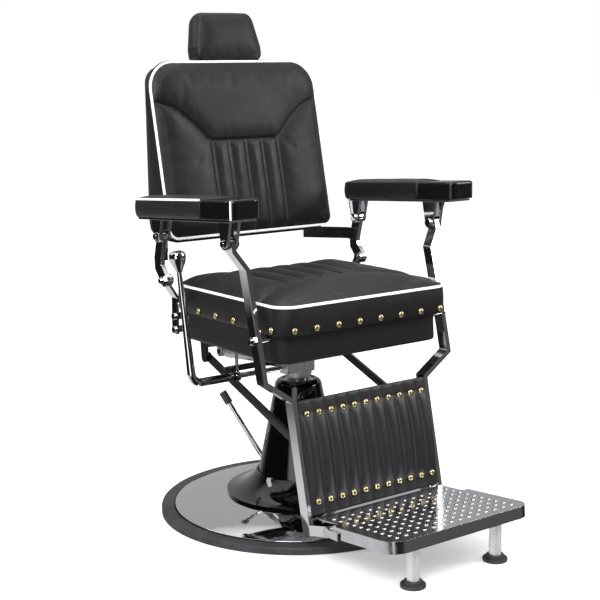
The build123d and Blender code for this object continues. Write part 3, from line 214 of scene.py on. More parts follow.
def eased(node, material, edge=1.2, sharp=38.0, name=None):
    """A smooth copy of a CAD piece, merged, with its corners eased, standing in for it."""
    source = frame["nodes"][node]
    mesh = source.data.copy()
    mesh.materials.clear()
    mesh.materials.append(material)
    work = bmesh.new()
    work.from_mesh(mesh)
    bmesh.ops.remove_doubles(work, verts=work.verts, dist=1e-6)
    bmesh.ops.dissolve_limit(work, angle_limit=math.radians(1.0), verts=work.verts, edges=work.edges)
    for face in work.faces:
        face.smooth = True
        face.material_index = 0
    work.to_mesh(mesh)
    work.free()
    piece = placed(name or node + "_finished", mesh)
    if edge:
        bevel = piece.modifiers.new("eased", "BEVEL")
        bevel.width = edge * MM
        bevel.segments = 2
        bevel.limit_method = "ANGLE"
        bevel.angle_limit = math.radians(40)
        bevel.harden_normals = False
        bevel.use_clamp_overlap = True
    piece = as_mesh(piece)
    piece.data.set_sharp_from_angle(angle=math.radians(sharp))
    weighted = piece.modifiers.new("flat_faces", "WEIGHTED_NORMAL")
    weighted.mode = "FACE_AREA"
    weighted.keep_sharp = True
    piece = as_mesh(piece)
    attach(piece, node_body[node])
    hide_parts(node)
    return piece


def as_mesh(piece):
    """The piece with its modifiers worked into a plain mesh, at the origin."""
    bpy.context.view_layer.update()
    evaluated = piece.evaluated_get(bpy.context.evaluated_depsgraph_get())
    mesh = bpy.data.meshes.new_from_object(evaluated)
    mesh.transform(piece.matrix_world)
    made_name = piece.name
    bpy.data.objects.remove(piece)
    return placed(made_name, mesh)


chrome = chrome_plate("polished_chrome", "#e6e7ea", 0.05, 0.06)
for bar in ("front_bar_left", "front_bar_right", "side_bar_left", "side_bar_right"):
    eased(bar, chrome, edge=1.6)
for bar in ("rear_brackets", "arm_base_left", "arm_base_right", "leg_cross_tubes", "lever_hanger",
            "headrest_post"):
    eased(bar, chrome, edge=0.8)
for fastener in ("pivot_bolts", "pivot_spacers", "dome_nuts", "bracket_bolts", "arm_bolts_left",
                 "arm_bolts_right"):
    eased(fastener, chrome, edge=0.5)
for rod in ("piston_rod", "pedal_arm"):
    eased(rod, chrome, edge=0.5)
eased("hand_lever", chrome, edge=0)
eased("lever_knob", chrome, edge=0.8)

# ---------------------------------------------------------------- base
# A pressed steel dome, chrome plated, with a moulded rubber rim round it that takes knocks and grips
# the floor. The pump stands on it under a bell and a tall cone of gloss black enamelled steel.


def enamel(name, colour, gloss, ripple_depth):
    """Stoved black paint: a deep wet shine with the slight waviness of sprayed paint."""
    made, tree, place = blank_material(name)
    peel = add_node(tree, "ShaderNodeTexNoise", Vector=place, Scale=160.0, Detail=1.0)
    dust = add_node(tree, "ShaderNodeTexNoise", Vector=place, Scale=22.0, Detail=4.0)
    rough = add_node(tree, "ShaderNodeMapRange", Value=dust.outputs[0], From_Min=0.3, From_Max=0.8,
                     To_Min=gloss * 0.7, To_Max=gloss * 1.5)
    bump = add_node(tree, "ShaderNodeBump", Height=peel.outputs[0], Strength=ripple_depth, Distance=0.0006)
    shine = add_node(tree, "ShaderNodeBsdfPrincipled", Base_Color=linear(colour), Roughness=rough.outputs[0],
                     Normal=bump.outputs[0], Coat_Weight=0.6, Coat_Roughness=0.04)
    add_node(tree, "ShaderNodeOutputMaterial", Surface=shine.outputs[0])
    return made


def two_tones(tree, value, low, low_colour, high, high_colour):
    """A colour that runs from one tone to another as a value rises."""
    ramp = add_node(tree, "ShaderNodeValToRGB", Fac=value)
    ramp.color_ramp.elements[0].position, ramp.color_ramp.elements[0].color = low, low_colour
    ramp.color_ramp.elements[1].position, ramp.color_ramp.elements[1].color = high, high_colour
    return ramp.outputs[0]


def moulded_rubber(name, colour, grain_mm):
    """Black moulded rubber, greyed by dust, with a fine even tooth."""
    made, tree, place = blank_material(name)
    tooth = add_node(tree, "ShaderNodeTexNoise", Vector=place, Scale=1 / (grain_mm * MM), Detail=2.0)
    dust = add_node(tree, "ShaderNodeTexNoise", Vector=place, Scale=18.0, Detail=5.0, Roughness=0.65)
    shade = two_tones(tree, dust.outputs[0], 0.35, linear(colour), 0.8, linear("#4a4a4c"))
    bump = add_node(tree, "ShaderNodeBump", Height=tooth.outputs[0], Strength=0.35, Distance=0.0006)
    body = add_node(tree, "ShaderNodeBsdfPrincipled", Base_Color=shade, Roughness=0.62,
                    Normal=bump.outputs[0])
    add_node(tree, "ShaderNodeOutputMaterial", Surface=body.outputs[0])
    return made


black_enamel = enamel("stoved_black_enamel", "#060607", 0.07, 0.05)
satin_enamel = enamel("satin_black_paint", "#0d0d0e", 0.28, 0.12)
rubber = moulded_rubber("moulded_black_rubber", "#2b2b2d", 2.5)
eased("base_plate", chrome, edge=0.8, sharp=30)
eased("base_rim", rubber, edge=0, sharp=30)
eased("base_pan", satin_enamel, edge=0.5)
eased("bell_cover", black_enamel, edge=0, sharp=40)
eased("cone_cover", black_enamel, edge=0, sharp=50)
eased("pedal_pad", rubber, edge=0, sharp=40)

# ---------------------------------------------------------------- castings and black steelwork
# The pump's cylinder, its gland and the head that turns on it are cast alloy, left as cast. The rocker,
# the links and the brackets under the seat are flat steel, painted satin black.


def cast_alloy(name, colour):
    """A pale grey metal skin, finely pitted: alloy as cast, or plating that was never polished."""
    made, tree, place = blank_material(name)
    pits = add_node(tree, "ShaderNodeTexNoise", Vector=place, Scale=420.0, Detail=4.0, Roughness=0.7)
    blotch = add_node(tree, "ShaderNodeTexNoise", Vector=place, Scale=30.0, Detail=3.0)
    rough = add_node(tree, "ShaderNodeMapRange", Value=blotch.outputs[0], From_Min=0.3, From_Max=0.7,
                     To_Min=0.22, To_Max=0.42)
    bump = add_node(tree, "ShaderNodeBump", Height=pits.outputs[0], Strength=0.5, Distance=0.0008)
    skin = add_node(tree, "ShaderNodeBsdfPrincipled", Base_Color=linear(colour), Metallic=0.6,
                    Roughness=rough.outputs[0], Normal=bump.outputs[0])
    add_node(tree, "ShaderNodeOutputMaterial", Surface=skin.outputs[0])
    return made


alloy = cast_alloy("as_cast_aluminium", "#c9cacc")
zinc = cast_alloy("zinc_plated_steel", "#c2c4c8")
for casting in ("pump_cylinder", "gland_nut", "pedal_yoke", "head_casting"):
    eased(casting, alloy, edge=1.2)
for plated in ("pump_bolts", "thrust_bearing", "lock_cylinder", "lock_rod"):
    eased(plated, zinc, edge=0.6)
for painted in ("rocker", "link_left", "link_right", "rocker_bearings", "lock_bracket", "back_brackets",
                "lever_support", "headrest_socket"):
    eased(painted, satin_enamel, edge=0.8)

# ---------------------------------------------------------------- footrest
# A bright pressed tread plate with rows of low studs, turned down round its rim, on two plated tube legs
# with moulded black glides. The plate is duller than the bars, and its studs catch the light.


def node_setup(piece, build, **numbers):
    """Run a geometry node tree on a piece, with its numbers as named inputs, and keep the plain mesh."""
    tree = bpy.data.node_groups.new(piece.name + "_nodes", "GeometryNodeTree")
    tree.interface.new_socket("Geometry", in_out="INPUT", socket_type="NodeSocketGeometry")
    tree.interface.new_socket("Geometry", in_out="OUTPUT", socket_type="NodeSocketGeometry")
    for key in numbers:
        tree.interface.new_socket(key, in_out="INPUT", socket_type="NodeSocketFloat")
    given = tree.nodes.new("NodeGroupInput")
    made = build(tree, given.outputs)
    result = tree.nodes.new("NodeGroupOutput")
    tree.links.new(made, result.inputs[0])
    run = piece.modifiers.new("nodes", "NODES")
    run.node_group = tree
    for item in tree.interface.items_tree:
        if item.in_out == "INPUT" and item.name in numbers:
            run[item.identifier] = float(numbers[item.name])
    return as_mesh(piece)


def scattered(name, places, aims, build, **numbers):
    """An object of loose points, each aimed outwards, that a node tree puts a small part on."""
    mesh = bpy.data.meshes.new(name)
    mesh.from_pydata([tuple(p) for p in places], [], [])
    aim = mesh.attributes.new("aim", "FLOAT_VECTOR", "POINT")
    aim.data.foreach_set("vector", np.array(aims, float).ravel())
    piece = placed(name, mesh)
    return node_setup(piece, build, **numbers)


def on_points(tree, points, shape, cover):
    """Stand a shape on every point, turned to its aim, real and shaded smooth, in one material."""
    aim = add_node(tree, "GeometryNodeInputNamedAttribute", {"data_type": "FLOAT_VECTOR"}, Name="aim")
    turned = add_node(tree, "FunctionNodeAlignRotationToVector", {"axis": "Z"}, Vector=aim.outputs[0])
    stood = add_node(tree, "GeometryNodeInstanceOnPoints", Points=points, Instance=shape,
                     Rotation=turned.outputs[0])
    real = add_node(tree, "GeometryNodeRealizeInstances", Geometry=stood.outputs[0])
    smooth = add_node(tree, "GeometryNodeSetShadeSmooth", Geometry=real.outputs[0])
    return add_node(tree, "GeometryNodeSetMaterial", Geometry=smooth.outputs[0], Material=cover).outputs[0]


def dome(tree, radius, height, segments, rings):
    """A flattened ball, half sunk in whatever it stands on."""
    ball = add_node(tree, "GeometryNodeMeshUVSphere", Segments=segments, Rings=rings, Radius=radius)
    flat = add_node(tree, "ShaderNodeMath", {"operation": "DIVIDE"}, i0=height, i1=radius)
    size = add_node(tree, "ShaderNodeCombineXYZ", X=1.0, Y=1.0, Z=flat.outputs[0])
    return add_node(tree, "GeometryNodeTransform", Geometry=ball.outputs[0], Scale=size.outputs[0]).outputs[0]


tread = chrome_plate("polished_tread_plate", "#d9dadd", 0.16, 0.10)
eased("footrest_plate", tread, edge=1.0)
bright_tube = cast_alloy("satin_chrome_tube", "#f4f4f5")
eased("footrest_legs", bright_tube, edge=0.5)
eased("footrest_glides", rubber, edge=0.6, sharp=50)
tread_slope = math.radians(5.5)
tread_run = Vector((0, -math.cos(tread_slope), math.sin(tread_slope)))
tread_up = Vector((0, math.sin(tread_slope), math.cos(tread_slope)))
tread_from = Vector((0, -322 * MM, 93 * MM))
stud_pitch, stud_row_pitch, first_stud = 24, 23, 96
stud_places = [tread_from + tread_run * (first_stud + stud_row_pitch * row) * MM
               + Vector(((-180 + stud_pitch * column + stud_pitch / 2 * (row % 2)) * MM, 0, 0))
               for row in range(8) for column in range(16)]
studs = scattered("tread_studs", stud_places, [tread_up] * len(stud_places),
                  lambda tree, given: on_points(tree, given["Geometry"],
                                                dome(tree, given["Radius"], given["Height"], 12, 6), tread),
                  Radius=5.5 * MM, Height=0.8 * MM)
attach(studs, "footrest")

# ---------------------------------------------------------------- upholstery: the cover
# Black vinyl over foam on plywood boards. Each panel is cut, sewn and pulled over its foam, so it swells
# between its seams and puckers beside them, and a bright white welt is sewn into the outer edges.


def vinyl(name, colour, grain_mm, shine_low, shine_high):
    """Soft black vinyl with a fine pebbled grain, drawn coarser than real so that it can be seen."""
    made, tree, place = blank_material(name)
    pebble = add_node(tree, "ShaderNodeTexVoronoi", {"feature": "SMOOTH_F1"}, Vector=place,
                      Scale=1 / (grain_mm * MM), Smoothness=0.6)
    crease = add_node(tree, "ShaderNodeTexNoise", Vector=place, Scale=46.0, Detail=5.0, Roughness=0.62,
                      Distortion=0.6)
    wear = add_node(tree, "ShaderNodeTexNoise", Vector=place, Scale=7.0, Detail=3.0)
    rough = add_node(tree, "ShaderNodeMapRange", Value=wear.outputs[0], From_Min=0.3, From_Max=0.72,
                     To_Min=shine_low, To_Max=shine_high)
    dark, light = linear(colour), [min(1.0, c * 1.35) for c in linear(colour)[:3]] + [1.0]
    tone = two_tones(tree, crease.outputs[0], 0.3, dark, 0.75, light)
    fine = add_node(tree, "ShaderNodeBump", Height=pebble.outputs[0], Strength=0.22, Distance=0.0007)
    broad = add_node(tree, "ShaderNodeBump", Height=crease.outputs[0], Strength=0.16, Distance=0.004,
                     Normal=fine.outputs[0])
    body = add_node(tree, "ShaderNodeBsdfPrincipled", Base_Color=tone, Roughness=rough.outputs[0],
                    Normal=broad.outputs[0], Sheen_Weight=0.03, Sheen_Roughness=0.4)
    add_node(tree, "ShaderNodeOutputMaterial", Surface=body.outputs[0])
    return made


def near_folds(x, y, folds):
    """How far each point lies from the nearest of some sewn lines."""
    best = np.full(x.shape, 9.0)
    for fold in folds:
        for (x0, y0), (x1, y1) in zip(fold, fold[1:]):
            dx, dy = x1 - x0, y1 - y0
            t = np.clip(((x - x0) * dx + (y - y0) * dy) / (dx * dx + dy * dy), 0, 1)
            best = np.minimum(best, np.hypot(x - x0 - t * dx, y - y0 - t * dy))
    return best


def panel_grid(columns, rows, half, corners):
    """Points over a rounded oblong, drawn in towards its corners, and how far each is from the edge."""
    a, b = np.meshgrid(np.linspace(-1, 1, columns), np.linspace(-1, 1, rows))
    reach = np.maximum(np.maximum(np.abs(a), np.abs(b)), 1e-9)
    radius = np.where(b > 0, corners[1], corners[0])
    flat = [np.abs(a / reach) * half[0], np.abs(b / reach) * half[1]]
    over = [flat[0] - half[0] + radius, flat[1] - half[1] + radius]
    turning = (over[0] > 0) & (over[1] > 0)
    length = np.where(turning, np.hypot(*over), 1.0)
    pull = reach ** 7
    x, y = [side * span + np.sign(side) * np.where(turning, over[k] * (radius / length - 1), 0) * pull
            for k, (side, span) in enumerate(((a, half[0]), (b, half[1])))]
    over = [np.abs(x) - half[0] + radius, np.abs(y) - half[1] + radius]
    corner_run = np.hypot(np.maximum(over[0], 0), np.maximum(over[1], 0))
    edge = np.maximum(radius - np.minimum(np.maximum(*over), 0) - corner_run, 0)
    near = np.clip(edge / (14 * MM), 0, 1)
    return x, y, near * softened(edge, int((10 * MM * columns / half[0] / 2) ** 2 * 2)) + (1 - near) * edge


def softened(values, times):
    """A grid of values with its ridges rounded off."""
    for _ in range(times):
        inner = values.copy()
        inner[1:-1] = (values[:-2] + 2 * values[1:-1] + values[2:]) / 4
        values = inner.copy()
        values[:, 1:-1] = (inner[:, :-2] + 2 * inner[:, 1:-1] + inner[:, 2:]) / 4
    return values


cloth_frames = 20


def cloth_swell(points, held, cap):
    """How a sewn cover moves when it is blown up from behind, held where it is sewn, at most cap."""
    rows, columns = held.shape
    faces = [(r * columns + c, r * columns + c + 1, (r + 1) * columns + c + 1, (r + 1) * columns + c)
             for r in range(rows - 1) for c in range(columns - 1)]
    mesh = bpy.data.meshes.new("cover")
    mesh.from_pydata([tuple(p) for p in points.reshape(-1, 3)], [], faces)
    cover = placed("cover", mesh)
    sewn = cover.vertex_groups.new(name="sewn")
    sewn.add([int(i) for i in np.flatnonzero(held.ravel())], 1.0, "REPLACE")
    cloth = cover.modifiers.new("cloth", "CLOTH")
    cloth.settings.quality = 5
    cloth.settings.mass = 0.3
    cloth.settings.tension_stiffness = cloth.settings.compression_stiffness = 12
    cloth.settings.bending_stiffness = 0.4
    cloth.settings.use_pressure = True
    cloth.settings.uniform_pressure_force = 4
    cloth.settings.vertex_group_mass = "sewn"
    cloth.settings.shrink_min = -0.006
    cloth.settings.effector_weights.gravity = 0
    cloth.point_cache.frame_start, cloth.point_cache.frame_end = 1, cloth_frames
    for frame_number in range(1, cloth_frames + 1):
        bpy.context.scene.frame_set(frame_number)
    moved = cover.evaluated_get(bpy.context.evaluated_depsgraph_get()).to_mesh()
    out = np.empty(len(mesh.vertices) * 3)
    moved.vertices.foreach_get("co", out)
    bpy.data.objects.remove(cover)
    bpy.context.scene.frame_set(1)
    shift = out.reshape(points.shape) - points
    size = np.maximum(np.linalg.norm(shift, axis=2, keepdims=True), 1e-9)
    return np.nan_to_num(shift * np.tanh(size / cap) * cap / size)


def finer(values, shape):
    """A coarse grid of values, drawn over a finer one and smoothed."""
    rows, columns = values.shape[:2]
    at_r, at_c = np.linspace(0, rows - 1, shape[0]), np.linspace(0, columns - 1, shape[1])
    wide = np.stack([np.interp(at_c, range(columns), values[r, :, k]) for k in range(3) for r in range(rows)])
    wide = wide.reshape(3, rows, shape[1])
    tall = np.stack([np.stack([np.interp(at_r, range(rows), wide[k, :, c]) for c in range(shape[1])], axis=1)
                     for k in range(3)], axis=2)
    return softened(tall, 9)


def face_outwards(mesh):
    """Turn a closed mesh's faces outwards and shade them smooth."""
    work = bmesh.new()
    work.from_mesh(mesh)
    bmesh.ops.recalc_face_normals(work, faces=work.faces)
    for one in work.faces:
        one.smooth = True
    work.to_mesh(mesh)
    work.free()


def upholstered(node, cover, half, corners, plane, depth, height, folds=(), belly=2.0, cap=5.0,
                pitch=2.8, squeeze=None):
    """A closed cushion: a sewn face on its plane, swollen like cloth, side walls and a flat back."""
    origin, across, upward, outward, inward = [Vector(v) for v in plane]
    axes = np.array([across, upward, outward, inward])
    start = np.array(origin)

    def face(columns, rows):
        """The sewn face as a grid, with how far each point is from its edge and from a seam."""
        x, y, edge = panel_grid(columns, rows, half, corners)
        fold = near_folds(x, y, folds)
        lift = height(x, y, edge, fold)
        wide = squeeze(x, y) if squeeze else x
        return x, y, edge, fold, start + np.stack([wide * axes[0][k] + y * axes[1][k] + lift * axes[2][k]
                                                   for k in range(3)], axis=2)

    columns, rows = [int(round(2 * span / (pitch * MM))) | 1 for span in half]
    x, y, edge, fold, points = face(columns, rows)
    if cap:
        step = 3 if min(half) > 0.1 else 2
        rough = face(columns // step | 1, rows // step | 1)
        held = (rough[2] < 5 * MM) | (rough[3] < 0.75 * step * pitch * MM)
        points = points + finer(cloth_swell(rough[4], held, cap * MM), x.shape)
    rim = [(0, c) for c in range(columns)] + [(r, columns - 1) for r in range(1, rows)]
    rim += [(rows - 1, c) for c in range(columns - 2, -1, -1)] + [(r, 0) for r in range(rows - 2, 0, -1)]
    at = np.array([r * columns + c for r, c in rim])
    flat = np.stack([(squeeze(x, y) if squeeze else x).ravel()[at], y.ravel()[at]], axis=1)
    along = np.roll(flat, -1, axis=0) - np.roll(flat, 1, axis=0)
    along /= np.maximum(np.linalg.norm(along, axis=1, keepdims=True), 1e-9)
    away = along[:, 1:2] * axes[0] - along[:, 0:1] * axes[1]
    top = points.reshape(-1, 3)[at]
    deep = depth(flat[:, 0], flat[:, 1])[:, None]
    length = np.cumsum(np.linalg.norm(np.roll(flat, -1, axis=0) - flat, axis=1))
    verts, faces = [points.reshape(-1, 3)], []
    faces += [(r * columns + c, r * columns + c + 1, (r + 1) * columns + c + 1, (r + 1) * columns + c)
              for r in range(rows - 1) for c in range(columns - 1)]
    last, count, rings = at, rows * columns, 12
    for ring in range(1, rings + 1):
        t = ring / rings
        wave = 1 + 0.25 * np.sin(length * 31) * np.sin(length * 13 + 3 * t)
        sag = math.sin(math.pi * t) * (belly * MM) * wave
        sag = sag - 2.5 * MM * max(0.0, t - 0.9) / 0.1
        verts.append(top + deep * t * axes[3] + away * sag[:, None])
        here = count + np.arange(len(at))
        faces += [(int(last[i]), int(here[i]), int(here[(i + 1) % len(at)]), int(last[(i + 1) % len(at)]))
                  for i in range(len(at))]
        last, count = here, count + len(at)
    faces.append(tuple(int(i) for i in last))
    mesh = bpy.data.meshes.new(node + "_finished")
    mesh.from_pydata([tuple(v) for v in np.concatenate(verts)], [], faces)
    face_outwards(mesh)
    mesh.materials.append(cover)
    mesh.set_sharp_from_angle(angle=math.radians(62))
    piece = placed(node + "_finished", mesh)
    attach(piece, node_body[node])
    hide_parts(node)
    return top


def welt_or_highlight(name, path, radius_mm, body, closed=True):
    """A round white cord along a path: a sewn welt, and down each arm cap's corner a painted highlight."""
    mesh = bpy.data.meshes.new(name)
    count = len(path)
    links = [(i, (i + 1) % count) for i in range(count if closed else count - 1)]
    mesh.from_pydata([tuple(p) for p in path], links, [])
    piece = placed(name, mesh)

    def build(tree, given):
        """The cord itself: a circle carried along the path."""
        line = add_node(tree, "GeometryNodeMeshToCurve", i0=given["Geometry"])
        ring = add_node(tree, "GeometryNodeCurvePrimitiveCircle", Resolution=10, Radius=given["Radius"])
        cord = add_node(tree, "GeometryNodeCurveToMesh", Curve=line.outputs[0], Profile_Curve=ring.outputs[0],
                        Fill_Caps=True)
        real = add_node(tree, "GeometryNodeRealizeInstances", Geometry=cord.outputs[0])
        smooth = add_node(tree, "GeometryNodeSetShadeSmooth", Geometry=real.outputs[0])
        return add_node(tree, "GeometryNodeSetMaterial", Geometry=smooth.outputs[0],
                        Material=white_welt_and_highlight).outputs[0]

    made = node_setup(piece, build, Radius=radius_mm * MM)
    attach(made, body)
    return made


black_vinyl = vinyl("black_vinyl", "#101012", 2.6, 0.42, 0.56)
# Painted light: the calf panel's cover is the same black vinyl, drawn as a lighter copy to show the light
# falling on it.
calf_vinyl_painted_lighter = vinyl("calf_panel_vinyl_painted_lighter", "#1e1e20", 2.6, 0.38, 0.5)
# White vinyl for the sewn welts, and for the painted highlight down each arm cap's corner.
white_welt_and_highlight = vinyl("white_vinyl_cord_and_painted_highlight", "#f2f2f0", 2.6, 0.34, 0.42)

# ---------------------------------------------------------------- seat
# A box cushion with a domed top: a front panel that rolls down to the welt, and behind its seam a middle
# sewn into channels. Its skirt is a vinyl covered frame, with a row of nails where the two meet.


def seat_height(x, y, edge, fold):
    """The seat's crown, rolling down over its front, less its seams."""
    front = np.clip((-y - 0.08) / 0.15, 0, 1)
    dome_up = 26 * MM * (1 - np.exp(-edge / ((42 + 58 * front) * MM)))
    panels = 5 * MM * (1 - np.exp(-fold / (13 * MM))) * np.clip(edge / (30 * MM), 0, 1)
    return dome_up + panels - 3.0 * MM * np.exp(-(fold / (2.4 * MM)) ** 2) * np.clip(edge / (12 * MM), 0, 1)


def arc_points(pairs):
    """A line's points, from millimetres to metres."""
    return [(a * MM, b * MM) for a, b in pairs]


seat_middle_y = (-284 + 170) / 2
seat_seams = [arc_points([(x, y - seat_middle_y) for x, y in (
    (-250, -190), (-200, -174), (-160, -150), (-118, -128), (-60, -108), (0, -103),
    (60, -108), (118, -128), (160, -150), (200, -174), (250, -190))])]
for line in (-118, -59, 0, 59, 118):
    starts = -128 + 25 * (1 - (line / 118) ** 2)
    seat_seams.append(arc_points([(line, starts - seat_middle_y), (line * 1.02, 20 - seat_middle_y),
                                  (line * 1.06, 226 - seat_middle_y)]))
seat_rim = upholstered(
    "seat_cushion", black_vinyl, (250 * MM, 227 * MM), (46 * MM, 30 * MM),
    ((0, seat_middle_y * MM, 576 * MM), (1, 0, 0), (0, 1, 0), (0, 0, 1), (0, 0, -1)),
    lambda x, y: np.full(x.shape, 65.7 * MM), seat_height, seat_seams, belly=2.5, cap=3.0)
welt_or_highlight("seat_welt", seat_rim, 3.3, "seat")
skirt_low, skirt_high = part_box("seat_apron")
skirt_rings = []
skirt_wall, skirt_corner = 14, 44
skirt_profile = ((skirt_wall, 0.0), (2.5, 0.0), (0.4, 0.02), (0, 0.08), (1.0, 0.35), (1.4, 0.6), (0.6, 0.88),
                 (0, 0.96), (2.5, 1.0), (skirt_wall, 1.0))
for inset, height_share in skirt_profile:
    across = [(skirt_high.x - skirt_low.x) / 2 - inset * MM, (skirt_high.y - skirt_low.y) / 2 - inset * MM]
    radius = (skirt_corner - inset) * MM
    middle_y = (skirt_low.y + skirt_high.y) / 2
    ring = []
    for corner, (sx, sy) in enumerate(((1, 1), (-1, 1), (-1, -1), (1, -1))):
        for step in range(13):
            angle = math.radians(90 * corner + 90 * step / 12)
            ring.append((sx * (across[0] - radius) + radius * math.cos(angle),
                         middle_y + sy * (across[1] - radius) + radius * math.sin(angle),
                         skirt_low.z + (skirt_high.z - skirt_low.z) * height_share))
    skirt_rings.append(ring)
around = len(skirt_rings[0])
ring_pairs = [(i, (i + 1) % len(skirt_rings)) for i in range(len(skirt_rings))]
skirt_faces = [(a * around + k, a * around + (k + 1) % around, b * around + (k + 1) % around, b * around + k)
               for a, b in ring_pairs for k in range(around)]
skirt_mesh = bpy.data.meshes.new("seat_apron_finished")
skirt_mesh.from_pydata([p for ring in skirt_rings for p in ring], [], skirt_faces)
face_outwards(skirt_mesh)
skirt_mesh.materials.append(black_vinyl)
skirt_mesh.set_sharp_from_angle(angle=math.radians(50))
skirt = placed("seat_apron_finished", skirt_mesh)
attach(skirt, "seat")
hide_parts("seat_apron")

# ---------------------------------------------------------------- back
# A tall box cushion on a plywood board. A yoke dips across its upper half, and five sewn channels run
# down from it, between two plain side panels. A welt goes all round its front edge.


def back_height(x, y, edge, fold):
    """The back's crown, less its seams and the creases that pull at the ends of its yoke."""
    crown = 9 * MM * (1 - np.exp(-edge / (20 * MM)))
    panels = 6 * MM * (1 - np.exp(-fold / (14 * MM))) * np.clip(edge / (26 * MM), 0, 1)
    pull = 1.5 * MM * sum(np.exp(-near_folds(x, y, [ray]) ** 2 / (13 * MM) ** 2) for ray in back_pulls)
    stitched = 3.2 * MM * np.exp(-(fold / (2.4 * MM)) ** 2) * np.clip(edge / (10 * MM), 0, 1)
    return crown + panels - stitched - pull


back_low, back_high = 684, 1113
back_foot_y, board_y = 181, 284.6
back_middle = (back_low + back_high) / 2
back_lean = 0.2089
yoke = [(100, 918), (112, 925), (125, 940), (150, 965), (182, 990), (200, 1001), (225, 1011), (250, 1018)]
left_yoke = [(-x, z - back_middle) for x, z in reversed(yoke)]
back_seams = [arc_points(left_yoke + [(x, z - back_middle) for x, z in yoke])]
for line in (-100, -50, 0, 50, 100):
    back_seams.append(arc_points([(line, 918 - back_middle), (line, back_low - back_middle)]))
back_pulls = [arc_points([(-118, 915 - back_middle), (-150, 868 - back_middle)]),
              arc_points([(112, 914 - back_middle), (140, 893 - back_middle)])]
slope = math.sqrt(1 + back_lean ** 2)
back_out = (0, -1 / slope, back_lean / slope)
back_rim = upholstered(
    "back_cushion", black_vinyl, (250 * MM, (back_high - back_low) / 2 * MM), (24 * MM, 70 * MM),
    ((0, (back_foot_y + back_lean * (back_middle - back_low)) * MM, back_middle * MM), (1, 0, 0),
     (0, back_lean, 1), back_out, (0, 1, 0)),
    lambda x, y: board_y * MM - (back_foot_y * MM + back_lean * (y + (back_middle - back_low) * MM)),
    back_height, back_seams, belly=4.0, cap=3.0)
welt_or_highlight("back_welt", back_rim, 3.3, "back")

# ---------------------------------------------------------------- headrest
# A small pillow on a plated post, wider at the bottom, with a gusset sewn round its front panel. It is
# stuffed tight, so its front bulges evenly.


def pillow_height(x, y, edge, fold):
    """An even bulge, with no seams."""
    return 13 * MM * (1 - np.exp(-edge / (24 * MM)))


def pillow_taper(x, y):
    """Straight sides below, then drawn in evenly to the top."""
    return x * (1 - 0.1875 * np.clip((y + (pillow_half - straight_below) * MM) / (85.4 * MM), 0, 1))


pillow_half, straight_below = 61, 36.6
lean = math.radians(11.8)
rest_up, rest_out = (0, math.sin(lean), math.cos(lean)), (0, -math.cos(lean), math.sin(lean))
rest_foot = Vector((0, 271.5 * MM, 1117 * MM))
rest_middle = rest_foot + Vector(rest_up) * pillow_half * MM
upholstered("headrest_pad", black_vinyl, (96 * MM, pillow_half * MM), (20 * MM, 22 * MM),
            (tuple(rest_middle + Vector(rest_out) * -3 * MM), (1, 0, 0), rest_up, rest_out,
             (0, math.cos(lean), -math.sin(lean))),
            lambda x, y: np.full(x.shape, 51.5 * MM), pillow_height, belly=5.0, cap=1.6, pitch=2.2,
            squeeze=pillow_taper)

# ---------------------------------------------------------------- armrests
# A long vinyl pad on a plated base, welted along its outer upper edge, with a gloss black moulded cap on
# its front end. A thin white cord down the cap's outer corner is a painted highlight, standing in for the
# gleam off the cap's rounded edge.


def arm_height(x, y, edge, fold):
    """A low crown that turns over quickly at its edges."""
    return 6 * MM * (1 - np.exp(-edge / (11 * MM)))


def gloss_plastic(name, colour):
    """Moulded black plastic, polished, with faint swirls from wiping."""
    made, tree, place = blank_material(name)
    swirl = add_node(tree, "ShaderNodeTexNoise", Vector=place, Scale=55.0, Detail=4.0, Distortion=1.5)
    rough = add_node(tree, "ShaderNodeMapRange", Value=swirl.outputs[0], From_Min=0.3, From_Max=0.7,
                     To_Min=0.17, To_Max=0.24)
    wave = add_node(tree, "ShaderNodeTexNoise", Vector=place, Scale=14.0, Detail=1.0)
    bump = add_node(tree, "ShaderNodeBump", Height=wave.outputs[0], Strength=0.06, Distance=0.003)
    body = add_node(tree, "ShaderNodeBsdfPrincipled", Base_Color=linear(colour), Roughness=rough.outputs[0],
                    Normal=bump.outputs[0], IOR=1.52)
    add_node(tree, "ShaderNodeOutputMaterial", Surface=body.outputs[0])
    return made


